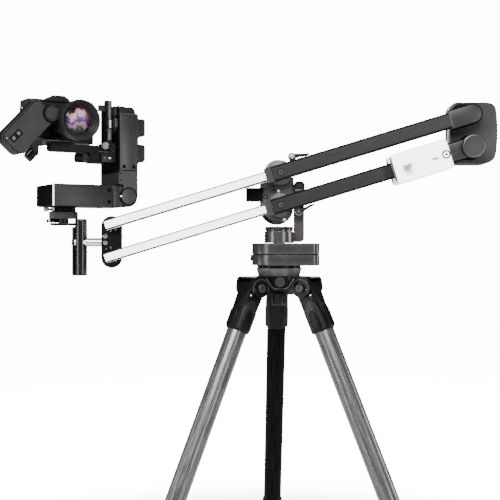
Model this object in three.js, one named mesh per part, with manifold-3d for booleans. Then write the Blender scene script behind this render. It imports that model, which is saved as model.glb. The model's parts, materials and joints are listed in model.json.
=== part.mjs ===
// Camera jib crane: a tripod, a motorised pan base, two parallel telescopic arms with
// counterweights, and a motorised head that carries a mirrorless camera with a focus motor.
// Millimetres, +Z up. X runs along the arms towards the counterweights, Y away from the front.

import * as THREE from "three";
import { mergeVertices } from "three/addons/utils/BufferGeometryUtils.js";
import Module from "manifold-3d";

const wasm = await Module();
wasm.setup();

// Clearances and cutting
const seatGap = 0.3; // between two pieces that seat on each other
const runGap = 0.5; // between two pieces that move past each other
const overrun = 4; // how far a cutting solid reaches past a face
const bite = 1; // how far two forms of one piece run into each other
const weldDistance = 0.0005;
const roundSteps = 24;
const smallSteps = 12;
const cornerSteps = 4;
const mergeTolerance = 0.001;

// Tripod head and legs
const hingeHeight = 542;
const hingeRadius = 57;
const legSpread = 23.2;
const tripodYaw = 1.5;
const legBearingDegrees = { left: 210, right: 330, rear: 90 };
const spiderRise = 20.4;
const spiderDepth = 27;
const spiderHubRadius = 44;
const spiderPlateThickness = 4.2;
const earThickness = 9;
const lobeRadius = 16.5;
const earRootRadius = 18;
const legPinRadius = 5;
const boltHeadRadius = 7.8;
const boltHeadHeight = 3;
const bowlMouthRadius = 36.2;
const bowlThroatRadius = 20;
const hookRadius = 8;
const hookReach = 7;
const castingWidth = 40;
const castingNeckRadius = 15.5;
const castingSwingGap = 1.5;
const castingEndRadius = 20.2;
const castingEndDrop = 44;
const castingLength = 82;
const legSocketDepth = 26;
const legTubeRadius = 17.7;
const legTubeWall = 2;
const stageShown = 70.9;
const legLockLength = 35;
const legLockRadius = 21;
const lowerLegRadius = 14.3;
const lowerLegWall = 2.3;
const lowerLegTopDrop = 120;
const footRadius = 15;
const footSoleDrop = 13.5;
const footCollarLength = 22;

// Half ball leveller and its clamp
const levellerRise = 19.6;
const levellerRingHeight = 5;
const levellerRingRadius = 42.3;
const levellerShoulderRadius = 41.5;
const levellerSkirtRadius = 38;
const levellerStemRadius = 5;
const levellerStemLength = 22;
const clampKnobRadius = 14;
const clampKnobLength = 26;

// Motorised pan base
const baseRadius = 49;
const baseReach = 71.3;
const baseCorner = 14;
const baseLowerHeight = 19.9;
const baseUpperHeight = 19.4;
const baseWall = 3;
const baseBossRadius = 14;
const powerButtonRadius = 5.4;
const powerButtonDrop = 6.4;
const powerButtonProud = 3;
const powerButtonLength = 5.5;
const drumShaftRadius = 10;
const drumFlangeRadius = 27.6;
const drumFlangeHeight = 1.6;
const drumRadius = 26.4;
const drumHeight = 19;
const drumNeckRadius = 19;
const drumNeckHeight = 2.2;
const drumCapRadius = 25.8;
const drumCapHeight = 6.8;

// Support bracket and fulcrum frame
const bracketDepth = 24;
const bracketInner = 27.5;
const bracketOuter = 45.7;
const bracketFootHeight = 16.4;
const bracketRise = 21;
const bracketCorner = 8;
const fulcrumX = 2;
const pivotSpacing = 59;
const frameDrumGap = 5.6;
const frameFront = 8;
const frameThickness = 16;
const frameCentre = -2.9;
const frameHalfWidth = 28.4;
const frameLowerCentreRise = 5;
const frameHeadRadius = 23.7;
const frameSeatDrop = 8;
const discFront = -1;
const discRadius = 23.2;
const motorBoxLength = 29;
const motorBoxHeight = 24;
const motorBoxFront = 2;
const motorBoxDepth = 36;
const motorBoxRise = 8;
const motorBoxSeat = 4;
const controlLength = 19.3;
const controlHeight = 22.7;
const controlCorner = 7;

// Arms: a length along the arm is counted from the fulcrum pivot
const armSlope = 16.9;
const frontReach = 320;
const rearReach = 360.5;
const armFront = -26.5;
const armBack = -1.5;
const armHeight = 27.4;
const armWall = 2.5;
const mouthReach = 24;
const collarLength = 9;
const linkLength = 41;
const linkHeight = 32;
const linkProud = 0.5;
const linkPlugLength = 28;
const pivotStubRadius = 6;
const pivotCapHeight = 1.5;
const rearStubRadius = 8;
const rearBoreDepth = 19;
const slideHeight = 18;
const slideDepth = 17;
const slideWall = 2;
const slideOverlap = 60;
const slideEndReach = 10.4;
const frontStubRadius = 5;
const leverPivotAlong = 27.7;
const leverPivotRise = 7.9;
const leverPinRadius = 2;
const leverHubRadius = 5.2;
const leverWidth = 14;
const leverReach = 32;
const leverEndDrop = 4.4;
const leverThickness = 2.6;
const lugThickness = 2.6;
const lugRadius = 5;

// Counterweights, rear cover and their knobs
const weightSetback = 99;
const weightLength = 103;
const weightHeight = 54;
const weightCorner = 6;
const frontWeightThickness = 24;
const rearWeightThickness = 20;
const weightKnobRadius = 9;
const weightKnobHeight = 8;
const weightKnobAlong = 28;
const weightKnobDrop = 3;
const coverLeft = 35.9;
const coverRight = 49.4;
const coverBulge = 3.8;
const coverTop = 23.8;
const coverBottom = 88.4;
const coverDepth = 47;
const coverTopLeftCorner = 16;
const coverTopRightCorner = 20;
const coverLowRightCorner = 28;
const coverLowLeftCorner = 9;
const rearKnobRadius = 21.5;
const rearKnobHeight = 11;

// Front plate, reach rod and post: a place is counted from the upper front pivot
const plateRadius = 18.7;
const plateThickness = 8;
const plateTopDrop = 4;
const plateLowDrop = 60.9;
const postAxisDepth = 12;
const rodDrop = 33.3;
const rodRadius = 8.1;
const rodBlockHeight = 26;
const rodBlockDepth = 17;
const rodBlockReach = 10;
const postOffset = 58.4;
const postRadius = 10.5;
const postTop = 9.6;
const postBottom = 94.3;
const postPlateTop = 2.1;
const postPlateThickness = 4.5;
const postPlateWidth = 30;
const postPlateLeft = 112.3;
const postPlateRight = 45;
const postBarThickness = 5;
const postBarWidth = 16;
const postScrewRadius = 4;
const postScrewHeight = 3.5;

// Quick release stack: a place is counted from the head's pan axis
const panAxisOffset = 90.3;
const spacerRadius = 9;
const tightenLeverRise = 2;
const tightenLeverThickness = 5.5;
const tightenLeverReach = 32;
const tightenLeverRadius = 5;
const tightenDiscRise = 9.5;
const tightenDiscThickness = 11;
const tightenDiscRadius = 26.4;
const clampBlockSize = 38;
const clampBlockHeight = 8.4;
const releaseKnobRadius = 3.8;
const releaseKnobStart = 27;
const releaseKnobLength = 9.5;
const releaseShaftRadius = 2;

// Remote head: heights are counted from the underside of the head box
const headYaw = 30;
const headLeft = 37;
const headSplit = 77.3;
const headHeight = 40;
const headDepth = 90;
const headWall = 4;
const foldAxisX = 110;
const foldDiscRadius = 17.2;
const foldRoundRadius = 19.5;
const foldCheekThickness = 3.7;
const foldStubRadius = 6;
const hingeShoulder = 92.2;
const armInnerX = 90.3;
const armOuterX = 127.8;
const armBottom = 42.1;
const armTop = 173.4;
const armShell = 4;
const cheekStrapInset = 9;
const humpHeight = 16.5;
const humpFront = -10;
const humpCorner = 9;
const batteryPlateThickness = 5;
const batteryPlateFront = -36;
const batteryPlateBack = 38;
const batteryPlateBottom = 81.2;
const batteryInset = 4;
const batteryThickness = 15.7;
const batteryHeight = 33;
const batteryCorner = 5;
const upperBatteryBottom = 133.6;
const lowerBatteryBottom = 85.6;

// Tilting camera cradle
const tiltAxisY = -20;
const tiltAxisZ = 152.6;
const tiltHubRadius = 20;
const tiltHubThickness = 6;
const tiltStubRadius = 8;
const tiltStubLength = 10;
const railThickness = 10.2;
const railWidth = 14;
const railBottom = 82.6;
const railTop = 197.3;
const clampLeftWall = 8;
const clampRightWall = 4.3;
const clampWidth = 28;
const clampBottom = 83.2;
const clampTop = 117.6;
const clampKnobFaceRadius = 7.8;
const clampKnobProud = 6;
const crossBarLeft = -32;
const crossBarWidth = 20;
const crossBarBottom = 98.6;
const crossBarThickness = 14;
const sideClampLeft = 39.7;
const sideClampBottom = 80;
const sideKnobRadius = 8.5;
const sideKnobLength = 24;
const cameraPlateLeft = -40;
const cameraPlateRight = 10;
const cameraPlateFront = -35;
const cameraPlateBack = 22;
const cameraPlateThickness = 2.7;
const jawLeft = -34;
const jawRight = 6;
const jawHeight = 12.6;
const jawThickness = 4.7;
const tabReach = 18;
const tabFront = -60;
const tabBack = -34;

// Camera and lens
const cameraLeft = -75;
const cameraRight = 52;
const cameraFront = -22;
const cameraBack = 28;
const cameraHeight = 76;
const cameraCorner = 9;
const finderLeft = -43;
const finderRight = 3;
const finderTopInset = 15;
const finderHeight = 7.8;
const finderFront = -26;
const finderBack = 24;
const gripWidth = 27;
const gripFront = -44;
const gripInset = 3;
const lensX = -4;
const lensZ = 148.5;
const lensFrontY = -104;
const lensMountRadius = 30;
const lensMountLength = 12;
const lensBarrelRadius = 31;
const lensCoreRadius = 28;
const lensHoodRadius = 35.3;
const lensHoodLength = 19.5;
const lensGlassRadius = 26;
const lensGlassDepth = 12;
const focusRingBack = -61.7;
const focusRingLength = 18.6;
const focusRingRadius = 31;

// Focus motor module
const moduleX = -92;
const moduleZ = 132.8;
const moduleTilt = 47;
const moduleLength = 97;
const moduleWidth = 49;
const moduleCorner = 12;
const moduleFront = -82;
const moduleThickness = 30;
const wheelX = -48.6;
const wheelZ = 158.4;
const wheelRadius = 14.2;
const wheelNotchGap = 2.6;
const wheelFront = -84;
const wheelThickness = 22;
const wheelPadRadius = 10;
const wheelShaftRadius = 3;
const wheelShaftLength = 9;
const buttonSize = 7.6;
const buttonProud = 1.2;
const buttonHeight = 4.7;
const buttonTravel = 1;
const buttonPlaces = { left: -32, right: -20 };
const buttonShift = 4;
const lugLeft = -85;
const moduleLugHeight = 12;
const moduleLugWidth = 8;
const strutLeft = -80;
const strutRight = -66;
const strutDrop = 16;
const moduleKnobRadius = 8;
const moduleKnobLength = 18;
const moduleKnobX = -79;
const moduleKnobZ = 87;

// Finishes
const blackMetal = { color: 0x1b1b1c, roughness: 0.45, metalness: 0.8 };
const darkMetal = { color: 0x3f3d3f, roughness: 0.4, metalness: 0.7 };
const softBlack = { color: 0x101011, roughness: 0.6, metalness: 0.1 };
const silver = { color: 0xe6e6e6, roughness: 0.25, metalness: 0.9 };
const carbon = { color: 0x4a4a4c, roughness: 0.35, metalness: 0.3 };
const bronzeGrey = { color: 0x4b4644, roughness: 0.35, metalness: 0.7 };
const glassBlack = { color: 0x221726, roughness: 0.15, metalness: 0.3 };

// Solid helpers
const radians = THREE.MathUtils.degToRad;
const halfTurn = Math.PI;
const quarterTurn = Math.PI / 2;

function solidOf(geometry) {
  const bare = geometry.index ? geometry.toNonIndexed() : geometry.clone();
  bare.deleteAttribute("normal");
  bare.deleteAttribute("uv");
  const merged = mergeVertices(bare, weldDistance);
  const vertProperties = merged.attributes.position.array;
  const triVerts = new Uint32Array(merged.index.array);
  return new wasm.Manifold(new wasm.Mesh({ numProp: 3, vertProperties, triVerts }));
}

function join(first, ...others) {
  return others.reduce((whole, other) => whole.add(other), first);
}

function cut(first, ...others) {
  return others.reduce((whole, other) => whole.subtract(other), first);
}

// A box between two places on each axis.
function block([x0, x1], [y0, y1], [z0, z1]) {
  const geometry = new THREE.BoxGeometry(x1 - x0, y1 - y0, z1 - z0);
  return solidOf(geometry.translate((x0 + x1) / 2, (y0 + y1) / 2, (z0 + z1) / 2));
}

// A cylinder along one axis, through a point given by its other two coordinates.
function bar(axis, radius, [from, to], [a, b] = [0, 0], steps = roundSteps) {
  const geometry = new THREE.CylinderGeometry(radius, radius, to - from, steps);
  const middle = (from + to) / 2;
  if (axis === "x") geometry.rotateZ(quarterTurn).translate(middle, a, b);
  if (axis === "y") geometry.translate(a, middle, b);
  if (axis === "z") geometry.rotateX(quarterTurn).translate(a, b, middle);
  return solidOf(geometry);
}

// A turned solid about Y or Z from points of radius and place on the axis.
function turned(axis, points, steps = roundSteps) {
  const outline = points.map(([radius, place]) => new THREE.Vector2(radius, place));
  if (THREE.ShapeUtils.area(outline) < 0) outline.reverse();
  const geometry = new THREE.LatheGeometry(outline, steps);
  if (axis === "z") geometry.rotateX(quarterTurn);
  return solidOf(geometry);
}

function extruded(shape, depth, steps) {
  return new THREE.ExtrudeGeometry(shape, { depth, bevelEnabled: false, curveSegments: steps });
}

// A shape of X and Y, extruded along Z.
function slab(shape, [z0, z1], steps = cornerSteps) {
  return solidOf(extruded(shape, z1 - z0, steps).translate(0, 0, z0));
}

// A shape of X and Z, extruded along Y.
function panel(shape, [y0, y1], steps = cornerSteps) {
  return solidOf(extruded(shape, y1 - y0, steps).rotateX(quarterTurn).translate(0, y1, 0));
}

// A line up to a corner and a quarter round about its centre, or the line alone if it is sharp.
function corner(shape, x, y, radius, start) {
  shape.lineTo(x + radius * Math.cos(start), y + radius * Math.sin(start));
  if (radius > 0) shape.absarc(x, y, radius, start, start + quarterTurn);
}

// An upright rectangle whose corners have their own radii, from the low left one on.
function roundedRect([x0, x1], [y0, y1], corners) {
  const [lowLeft, lowRight, topRight, topLeft] = Array.isArray(corners)
    ? corners
    : [corners, corners, corners, corners];
  const shape = new THREE.Shape();
  shape.moveTo((x0 + x1) / 2, y0);
  corner(shape, x1 - lowRight, y0 + lowRight, lowRight, -quarterTurn);
  corner(shape, x1 - topRight, y1 - topRight, topRight, 0);
  corner(shape, x0 + topLeft, y1 - topLeft, topLeft, quarterTurn);
  corner(shape, x0 + lowLeft, y0 + lowLeft, lowLeft, halfTurn);
  return shape;
}

// An upright outline with two round ends.
function capsule([x, low], [, high], lowRadius, highRadius = lowRadius) {
  const shape = new THREE.Shape();
  shape.absarc(x, low, lowRadius, halfTurn, 2 * halfTurn);
  shape.absarc(x, high, highRadius, 0, halfTurn);
  return shape;
}

function geometryOf(solid) {
  const made = solid.getMesh();
  const geometry = new THREE.BufferGeometry();
  geometry.setAttribute("position", new THREE.BufferAttribute(made.vertProperties, 3));
  geometry.setIndex(new THREE.BufferAttribute(made.triVerts, 1));
  return geometry;
}

// A named piece in its group.
function piece(parent, name, solid, finish) {
  const geometry = geometryOf(solid.asOriginal().simplify(mergeTolerance));
  geometry.computeVertexNormals();
  const mesh = new THREE.Mesh(geometry, new THREE.MeshStandardMaterial(finish));
  mesh.name = name;
  parent.add(mesh);
  return mesh;
}

function groupAt(parent, x, y, z) {
  const group = new THREE.Group();
  group.position.set(x, y, z);
  parent.add(group);
  return group;
}

// Tripod
const earInner = castingWidth / 2 + runGap;
const earOuter = earInner + earThickness;
const spiderTop = hingeHeight + spiderRise;
const legReach = (hingeHeight - footSoleDrop) / Math.cos(radians(legSpread));
const legTubeEnd = legReach - stageShown;
const levellerTop = spiderTop + levellerRise;

// One ear block of the spider, pointing along +X.
function earBlock() {
  const shape = new THREE.Shape();
  const end = hingeRadius + lobeRadius;
  shape.moveTo(earRootRadius, spiderTop - spiderDepth);
  shape.lineTo(hingeRadius - lobeRadius, hingeHeight - lobeRadius / 2);
  shape.absarc(hingeRadius, hingeHeight, lobeRadius, halfTurn + quarterTurn / 2, 2 * halfTurn);
  shape.quadraticCurveTo(end, spiderTop, end - lobeRadius / 2, spiderTop);
  shape.lineTo(earRootRadius, spiderTop);
  const whole = panel(shape, [-earOuter, earOuter], cornerSteps * 2);
  const slotTop = spiderTop - spiderPlateThickness;
  const slotStart = hingeRadius - castingNeckRadius - castingSwingGap;
  const slot = block([slotStart, end + overrun], [-earInner, earInner], [0, slotTop]);
  const pin = bar("y", legPinRadius, [-earOuter, earOuter], [hingeRadius, hingeHeight], smallSteps);
  const heads = [-1, 1].map((side) => {
    const near = side * earOuter;
    const far = side * (earOuter + boltHeadHeight);
    const span = [Math.min(near, far), Math.max(near, far)];
    return bar("y", boltHeadRadius, span, [hingeRadius, hingeHeight], smallSteps);
  });
  return { body: join(cut(whole, slot), pin, ...heads), slot };
}

function spiderSolid() {
  const bottom = spiderTop - spiderDepth;
  let hub = bar("z", spiderHubRadius, [bottom, spiderTop]);
  const ear = earBlock();
  const turns = Object.values(legBearingDegrees).map((bearing) => [0, 0, bearing]);
  for (const turn of turns) hub = cut(hub, ear.slot.rotate(turn));
  for (const turn of turns) hub = join(hub, ear.body.rotate(turn));
  const hookHeight = spiderTop - spiderDepth / 2;
  const hook = bar("y", hookRadius, [-spiderHubRadius - hookReach, -bowlMouthRadius], [0, hookHeight]);
  const bowl = turned("z", [
    [0, bottom - overrun],
    [bowlThroatRadius, bottom - overrun],
    [bowlThroatRadius, bottom],
    [bowlMouthRadius, spiderTop],
    [bowlMouthRadius, spiderTop + overrun],
    [0, spiderTop + overrun],
  ]);
  return cut(join(hub, hook), bowl);
}

// The upper casting of a leg, hung from its pin at the origin and tapering into its round end.
function castingSolid() {
  const half = castingWidth / 2;
  const neck = bar("y", castingNeckRadius, [-half, half]);
  const end = bar("z", castingEndRadius, [-castingLength, -castingEndDrop]);
  const whole = wasm.Manifold.hull([neck, end]);
  const socketTop = legSocketDepth - castingLength;
  const socket = bar("z", legTubeRadius + seatGap, [-castingLength - overrun, socketTop]);
  const wide = half + overrun;
  const bore = bar("y", legPinRadius + seatGap, [-wide, wide], [0, 0], smallSteps);
  return cut(whole, socket, bore);
}

function tubeSolid(outer, inner, [from, to]) {
  return turned("z", [
    [outer, from],
    [outer, to],
    [inner, to],
    [inner, from],
    [outer, from],
  ]);
}

// The inner stage of a leg with its foot, cut level with the ground.
function lowerLegSolid() {
  const collarTop = footCollarLength - legReach;
  const span = [-legReach, -lowerLegTopDrop];
  const stage = tubeSolid(lowerLegRadius, lowerLegRadius - lowerLegWall, span);
  const ball = new THREE.SphereGeometry(footRadius, smallSteps, smallSteps / 2);
  const collar = bar("z", footRadius, [-legReach, collarTop]);
  const wide = footRadius + overrun;
  const ground = block([-wide, wide], [-wide, wide], [-wide, -footSoleDrop]);
  const level = ground.rotate([0, legSpread, 0]).translate([0, 0, -legReach]);
  return cut(join(stage, solidOf(ball.translate(0, 0, -legReach)), collar), level);
}

function buildTripod(parent) {
  const tripod = groupAt(parent, 0, 0, 0);
  tripod.rotation.z = radians(tripodYaw);
  piece(tripod, "tripod_spider", spiderSolid(), blackMetal);
  for (const [side, bearing] of Object.entries(legBearingDegrees)) {
    const turn = groupAt(tripod, 0, 0, 0);
    turn.rotation.z = radians(bearing);
    const leg = groupAt(turn, hingeRadius, 0, hingeHeight);
    leg.rotation.y = -radians(legSpread);
    const tubeTop = legSocketDepth - castingLength - seatGap;
    const lockEnd = -legTubeEnd - legLockLength;
    const lockSeat = -legTubeEnd + legLockLength / 2;
    const lockOuter = tubeSolid(legLockRadius, legTubeRadius + seatGap, [-legTubeEnd - seatGap, lockSeat]);
    const lockInner = tubeSolid(legLockRadius, lowerLegRadius + seatGap, [lockEnd, -legTubeEnd - seatGap]);
    const tube = tubeSolid(legTubeRadius, legTubeRadius - legTubeWall, [-legTubeEnd, tubeTop]);
    piece(leg, `leg_casting_${side}`, castingSolid(), blackMetal);
    piece(leg, `leg_tube_${side}`, tube, carbon);
    piece(leg, `leg_lock_${side}`, join(lockOuter, lockInner), softBlack);
    piece(leg, `lower_leg_${side}`, lowerLegSolid(), carbon);
  }
  buildLeveller(parent);
}

function buildLeveller(parent) {
  const bottom = spiderTop - spiderDepth;
  const ringBottom = levellerTop - levellerRingHeight;
  const skirtBottom = spiderTop + seatGap;
  const ball = turned("z", [
    [0, bottom - levellerStemLength],
    [levellerStemRadius, bottom - levellerStemLength],
    [levellerStemRadius, bottom],
    [bowlThroatRadius - seatGap, bottom],
    [bowlMouthRadius - seatGap, spiderTop],
    [bowlMouthRadius - seatGap, skirtBottom],
    [levellerSkirtRadius, skirtBottom],
    [levellerShoulderRadius, ringBottom],
    [levellerRingRadius, ringBottom],
    [levellerRingRadius, levellerTop],
    [0, levellerTop],
  ]);
  piece(parent, "bowl_leveller", ball, bronzeGrey);
  const knobTop = bottom - seatGap;
  const boreTop = knobTop + overrun;
  const boreEnd = bottom - levellerStemLength - seatGap;
  const knob = bar("z", clampKnobRadius, [knobTop - clampKnobLength, knobTop], [0, 0], smallSteps);
  const bore = bar("z", levellerStemRadius + seatGap, [boreEnd, boreTop], [0, 0], smallSteps);
  piece(parent, "bowl_clamp_knob", cut(knob, bore), softBlack);
}

// Pan base
const baseBottom = levellerTop + seatGap;
const baseSeam = baseBottom + baseLowerHeight;
const baseTop = baseSeam + seatGap + baseUpperHeight;
const drumBottom = baseTop + runGap;
const drumBodyBottom = drumBottom + drumFlangeHeight;
const drumBodyTop = drumBodyBottom + drumHeight;
const drumNeckTop = drumBodyTop + drumNeckHeight;
const drumTop = drumNeckTop + drumCapHeight;

// The plan of the base: a half round end about the pan axis and a square end.
function basePlan(inset) {
  const radius = baseRadius - inset;
  const corner = baseCorner - inset;
  const reach = baseReach - inset;
  const shape = new THREE.Shape();
  shape.absarc(0, 0, radius, quarterTurn, quarterTurn + halfTurn);
  shape.absarc(reach - corner, corner - radius, corner, -quarterTurn, 0);
  shape.absarc(reach - corner, radius - corner, corner, 0, quarterTurn);
  return shape;
}

function buildBase(parent) {
  const steps = roundSteps / 2;
  const floor = baseBottom + baseWall;
  const roof = baseTop - baseWall;
  const plan = basePlan(0);
  const hollow = basePlan(baseWall);
  const buttonHeightMid = baseSeam - powerButtonDrop;
  const shaftBore = bar("z", drumShaftRadius + seatGap, [floor, baseTop + overrun]);
  const boss = bar("z", baseBossRadius, [baseBottom, baseSeam]);
  const buttonBore = bar(
    "x",
    powerButtonRadius + seatGap,
    [-baseRadius - overrun, -baseRadius + overrun * 2],
    [0, buttonHeightMid],
  );
  const tray = cut(slab(plan, [baseBottom, baseSeam], steps), slab(hollow, [floor, baseTop], steps));
  piece(parent, "pan_base_lower_shell", cut(join(tray, boss), shaftBore, buttonBore), darkMetal);
  const lid = cut(
    slab(plan, [baseSeam + seatGap, baseTop], steps),
    slab(hollow, [baseBottom, roof], steps),
    shaftBore,
  );
  piece(parent, "pan_base_upper_shell", lid, darkMetal);
  const face = -baseRadius - powerButtonProud;
  const button = bar("x", powerButtonRadius, [face, face + powerButtonLength], [0, buttonHeightMid]);
  piece(parent, "power_button", button, blackMetal);
}

function buildPanDrum(parent) {
  const shaftEnd = baseBottom + baseWall + seatGap;
  const drum = turned("z", [
    [0, shaftEnd],
    [drumShaftRadius, shaftEnd],
    [drumShaftRadius, drumBottom],
    [drumFlangeRadius, drumBottom],
    [drumFlangeRadius, drumBodyBottom],
    [drumRadius, drumBodyBottom],
    [drumRadius, drumBodyTop],
    [drumNeckRadius, drumBodyTop],
    [drumNeckRadius, drumNeckTop],
    [drumCapRadius, drumNeckTop],
    [drumCapRadius, drumTop],
    [0, drumTop],
  ]);
  piece(parent, "pan_drum", drum, bronzeGrey);
}

// Support bracket and fulcrum
const frameLowerCentre = drumTop + frameDrumGap + frameHalfWidth;
const lowerPivotHeight = frameLowerCentre + frameLowerCentreRise;
const upperPivotHeight = lowerPivotHeight + pivotSpacing;
const bracketTop = lowerPivotHeight + bracketRise;
const frameBack = frameFront + frameThickness;

function frameOutline(growth) {
  return capsule(
    [frameCentre, frameLowerCentre],
    [frameCentre, upperPivotHeight],
    frameHalfWidth + growth,
    frameHeadRadius + growth,
  );
}

function buildFulcrum(parent) {
  const footBottom = drumBodyBottom + seatGap;
  const footTop = footBottom + bracketFootHeight;
  const strap = panel(
    roundedRect([bracketInner, bracketOuter], [footBottom, bracketTop], [0, bracketCorner, 0, 0]),
    [0, bracketDepth],
  );
  const foot = block([fulcrumX, bracketInner + overrun], [0, bracketDepth], [footBottom, footTop]);
  const drumSpace = bar("z", drumRadius + seatGap, [footBottom - overrun, footTop + overrun]);
  piece(parent, "support_bracket", cut(join(strap, foot), drumSpace), darkMetal);

  const body = frameOutline(0);
  const discs = [lowerPivotHeight, upperPivotHeight].flatMap((height) => [
    bar("y", discRadius, [discFront, frameFront + overrun], [fulcrumX, height]),
    bar("y", pivotStubRadius, [armBack - armWall + seatGap, frameFront], [fulcrumX, height], smallSteps),
  ]);
  const seat = block(
    [frameCentre, bracketInner - seatGap],
    [frameFront, frameBack],
    [frameLowerCentre, upperPivotHeight - frameSeatDrop],
  );
  const frame = join(panel(body, [frameFront, frameBack], smallSteps), seat, ...discs);
  piece(parent, "fulcrum_frame", frame, darkMetal);

  const boxRight = frameCentre - frameHalfWidth;
  const boxBottom = lowerPivotHeight + motorBoxRise;
  const motorBoxBack = motorBoxFront + motorBoxDepth;
  const motorBox = block(
    [boxRight - motorBoxLength, boxRight + motorBoxSeat],
    [motorBoxFront, motorBoxBack],
    [boxBottom, boxBottom + motorBoxHeight],
  );
  const frameSpace = panel(frameOutline(seatGap), [0, motorBoxBack + overrun], smallSteps);
  piece(parent, "fulcrum_motor_box", cut(motorBox, frameSpace), softBlack);
  const controlLeft = bracketInner - seatGap + runGap;
  const controlBottom = bracketTop + seatGap;
  const control = panel(
    roundedRect(
      [controlLeft, controlLeft + controlLength],
      [controlBottom, controlBottom + controlHeight],
      [0, 0, controlCorner, controlCorner],
    ),
    [motorBoxFront, motorBoxBack],
  );
  piece(parent, "control_module", control, softBlack);
}

// Arms
const linkStart = rearReach - linkLength;
const weightCentre = rearReach - weightSetback;
const slideMid = (armFront + armBack) / 2;
const slideFront = slideMid - slideDepth / 2;
const slideBack = slideMid + slideDepth / 2;

// A square tube along the arm, with its own hollow.
function squareTube([x0, x1], [y0, y1], height, wall) {
  const outer = block([x0, x1], [y0, y1], [-height / 2, height / 2]);
  const inner = block(
    [x0 - overrun, x1 + overrun],
    [y0 + wall, y1 - wall],
    [wall - height / 2, height / 2 - wall],
  );
  return cut(outer, inner);
}

// The lever of the telescope clamp, lying along the tube. side is 1 above the tube, -1 below it.
function leverSolid(side) {
  const hubZ = side * (armHeight / 2 + leverPivotRise);
  const endZ = side * (armHeight / 2 + leverPivotRise - leverEndDrop);
  const half = leverWidth / 2;
  const hub = bar("y", leverHubRadius, [slideMid - half, slideMid + half], [leverPivotAlong, hubZ]);
  const shape = new THREE.Shape();
  const end = leverPivotAlong + leverReach;
  shape.moveTo(leverPivotAlong, hubZ - leverThickness);
  shape.lineTo(end, endZ - leverThickness / 2);
  shape.lineTo(end, endZ + leverThickness / 2);
  shape.lineTo(leverPivotAlong, hubZ + leverThickness);
  const handle = panel(shape, [slideMid - half, slideMid + half]);
  const bore = bar(
    "y",
    leverPinRadius + seatGap,
    [slideMid - half - overrun, slideMid + half + overrun],
    [leverPivotAlong, hubZ],
    smallSteps,
  );
  return cut(join(hub, handle), bore);
}

function armTubeSolid(side) {
  const start = collarLength - mouthReach + seatGap;
  const tube = squareTube([start, linkStart - seatGap], [armFront, armBack], armHeight, armWall);
  const stubBore = bar(
    "y",
    pivotStubRadius + seatGap,
    [armBack - armWall - seatGap, armBack + overrun],
    [0, 0],
    smallSteps,
  );
  const cap = bar("y", pivotStubRadius, [armFront - pivotCapHeight, armFront + armWall], [0, 0], smallSteps);
  const hubZ = side * (armHeight / 2 + leverPivotRise);
  const half = leverWidth / 2 + seatGap;
  const lugs = [-1, 1].flatMap((way) => {
    const near = slideMid + way * half;
    const far = slideMid + way * (half + lugThickness);
    const span = [Math.min(near, far), Math.max(near, far)];
    const rise = side * (armHeight / 2);
    const foot = [Math.min(rise - side * armWall / 2, hubZ), Math.max(rise - side * armWall / 2, hubZ)];
    return [
      bar("y", lugRadius, span, [leverPivotAlong, hubZ], smallSteps),
      block([leverPivotAlong - lugRadius, leverPivotAlong + lugRadius], span, foot),
    ];
  });
  const pinEnd = half + lugThickness / 2;
  const pinSpan = [slideMid - pinEnd, slideMid + pinEnd];
  const pin = bar("y", leverPinRadius, pinSpan, [leverPivotAlong, hubZ], smallSteps);
  return join(cut(tube, stubBore), cap, pin, ...lugs);
}

function collarSolid() {
  const height = armHeight / 2;
  const outer = block([-mouthReach, collarLength - mouthReach], [armFront, armBack], [-height, height]);
  const hole = slideHeight / 2 + seatGap;
  const bore = block(
    [-mouthReach - overrun, overrun - mouthReach + collarLength],
    [slideFront - seatGap, slideBack + seatGap],
    [-hole, hole],
  );
  return cut(outer, bore);
}

// The end link: a plug inside the tube and a round eye on the rear cover's axle.
function linkSolid(through) {
  const half = linkHeight / 2;
  const shape = new THREE.Shape();
  shape.absarc(rearReach, 0, half, -quarterTurn, quarterTurn);
  shape.lineTo(linkStart, half);
  shape.lineTo(linkStart, -half);
  const eye = panel(shape, [armFront - linkProud, armBack], smallSteps);
  const plugHalf = armHeight / 2 - armWall - seatGap;
  const plug = block(
    [linkStart - linkPlugLength, linkStart + overrun],
    [armFront + armWall + seatGap, armBack - armWall - seatGap],
    [-plugHalf, plugHalf],
  );
  const boreFront = through ? armFront - overrun : armBack - rearBoreDepth - seatGap;
  const bore = bar("y", rearStubRadius + seatGap, [boreFront, armBack + overrun], [rearReach, 0]);
  return cut(join(eye, plug), bore);
}

function slideSolid() {
  const left = -frontReach - slideEndReach;
  const right = slideOverlap;
  const half = slideHeight / 2;
  const outer = block([left, right], [slideFront, slideBack], [-half, half]);
  const inner = block(
    [left + slideWall, right + overrun],
    [slideFront + slideWall, slideBack - slideWall],
    [slideWall - half, half - slideWall],
  );
  const bore = bar(
    "y",
    frontStubRadius + seatGap,
    [slideBack - slideWall - overrun / 2, slideBack + overrun],
    [-frontReach, 0],
    smallSteps,
  );
  return cut(outer, inner, bore);
}

function buildArm(parent, name, height, side) {
  const arm = groupAt(parent, fulcrumX, 0, height);
  arm.rotation.y = -radians(armSlope);
  piece(arm, `${name}_arm_tube`, armTubeSolid(side), darkMetal);
  piece(arm, `${name}_arm_collar`, collarSolid(), bronzeGrey);
  piece(arm, `${name}_arm_link`, linkSolid(side < 0), darkMetal);
  piece(arm, `${name}_lock_lever`, leverSolid(side), bronzeGrey);
  piece(arm, `${name}_slide_tube`, slideSolid(), silver);
  return arm;
}

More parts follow.
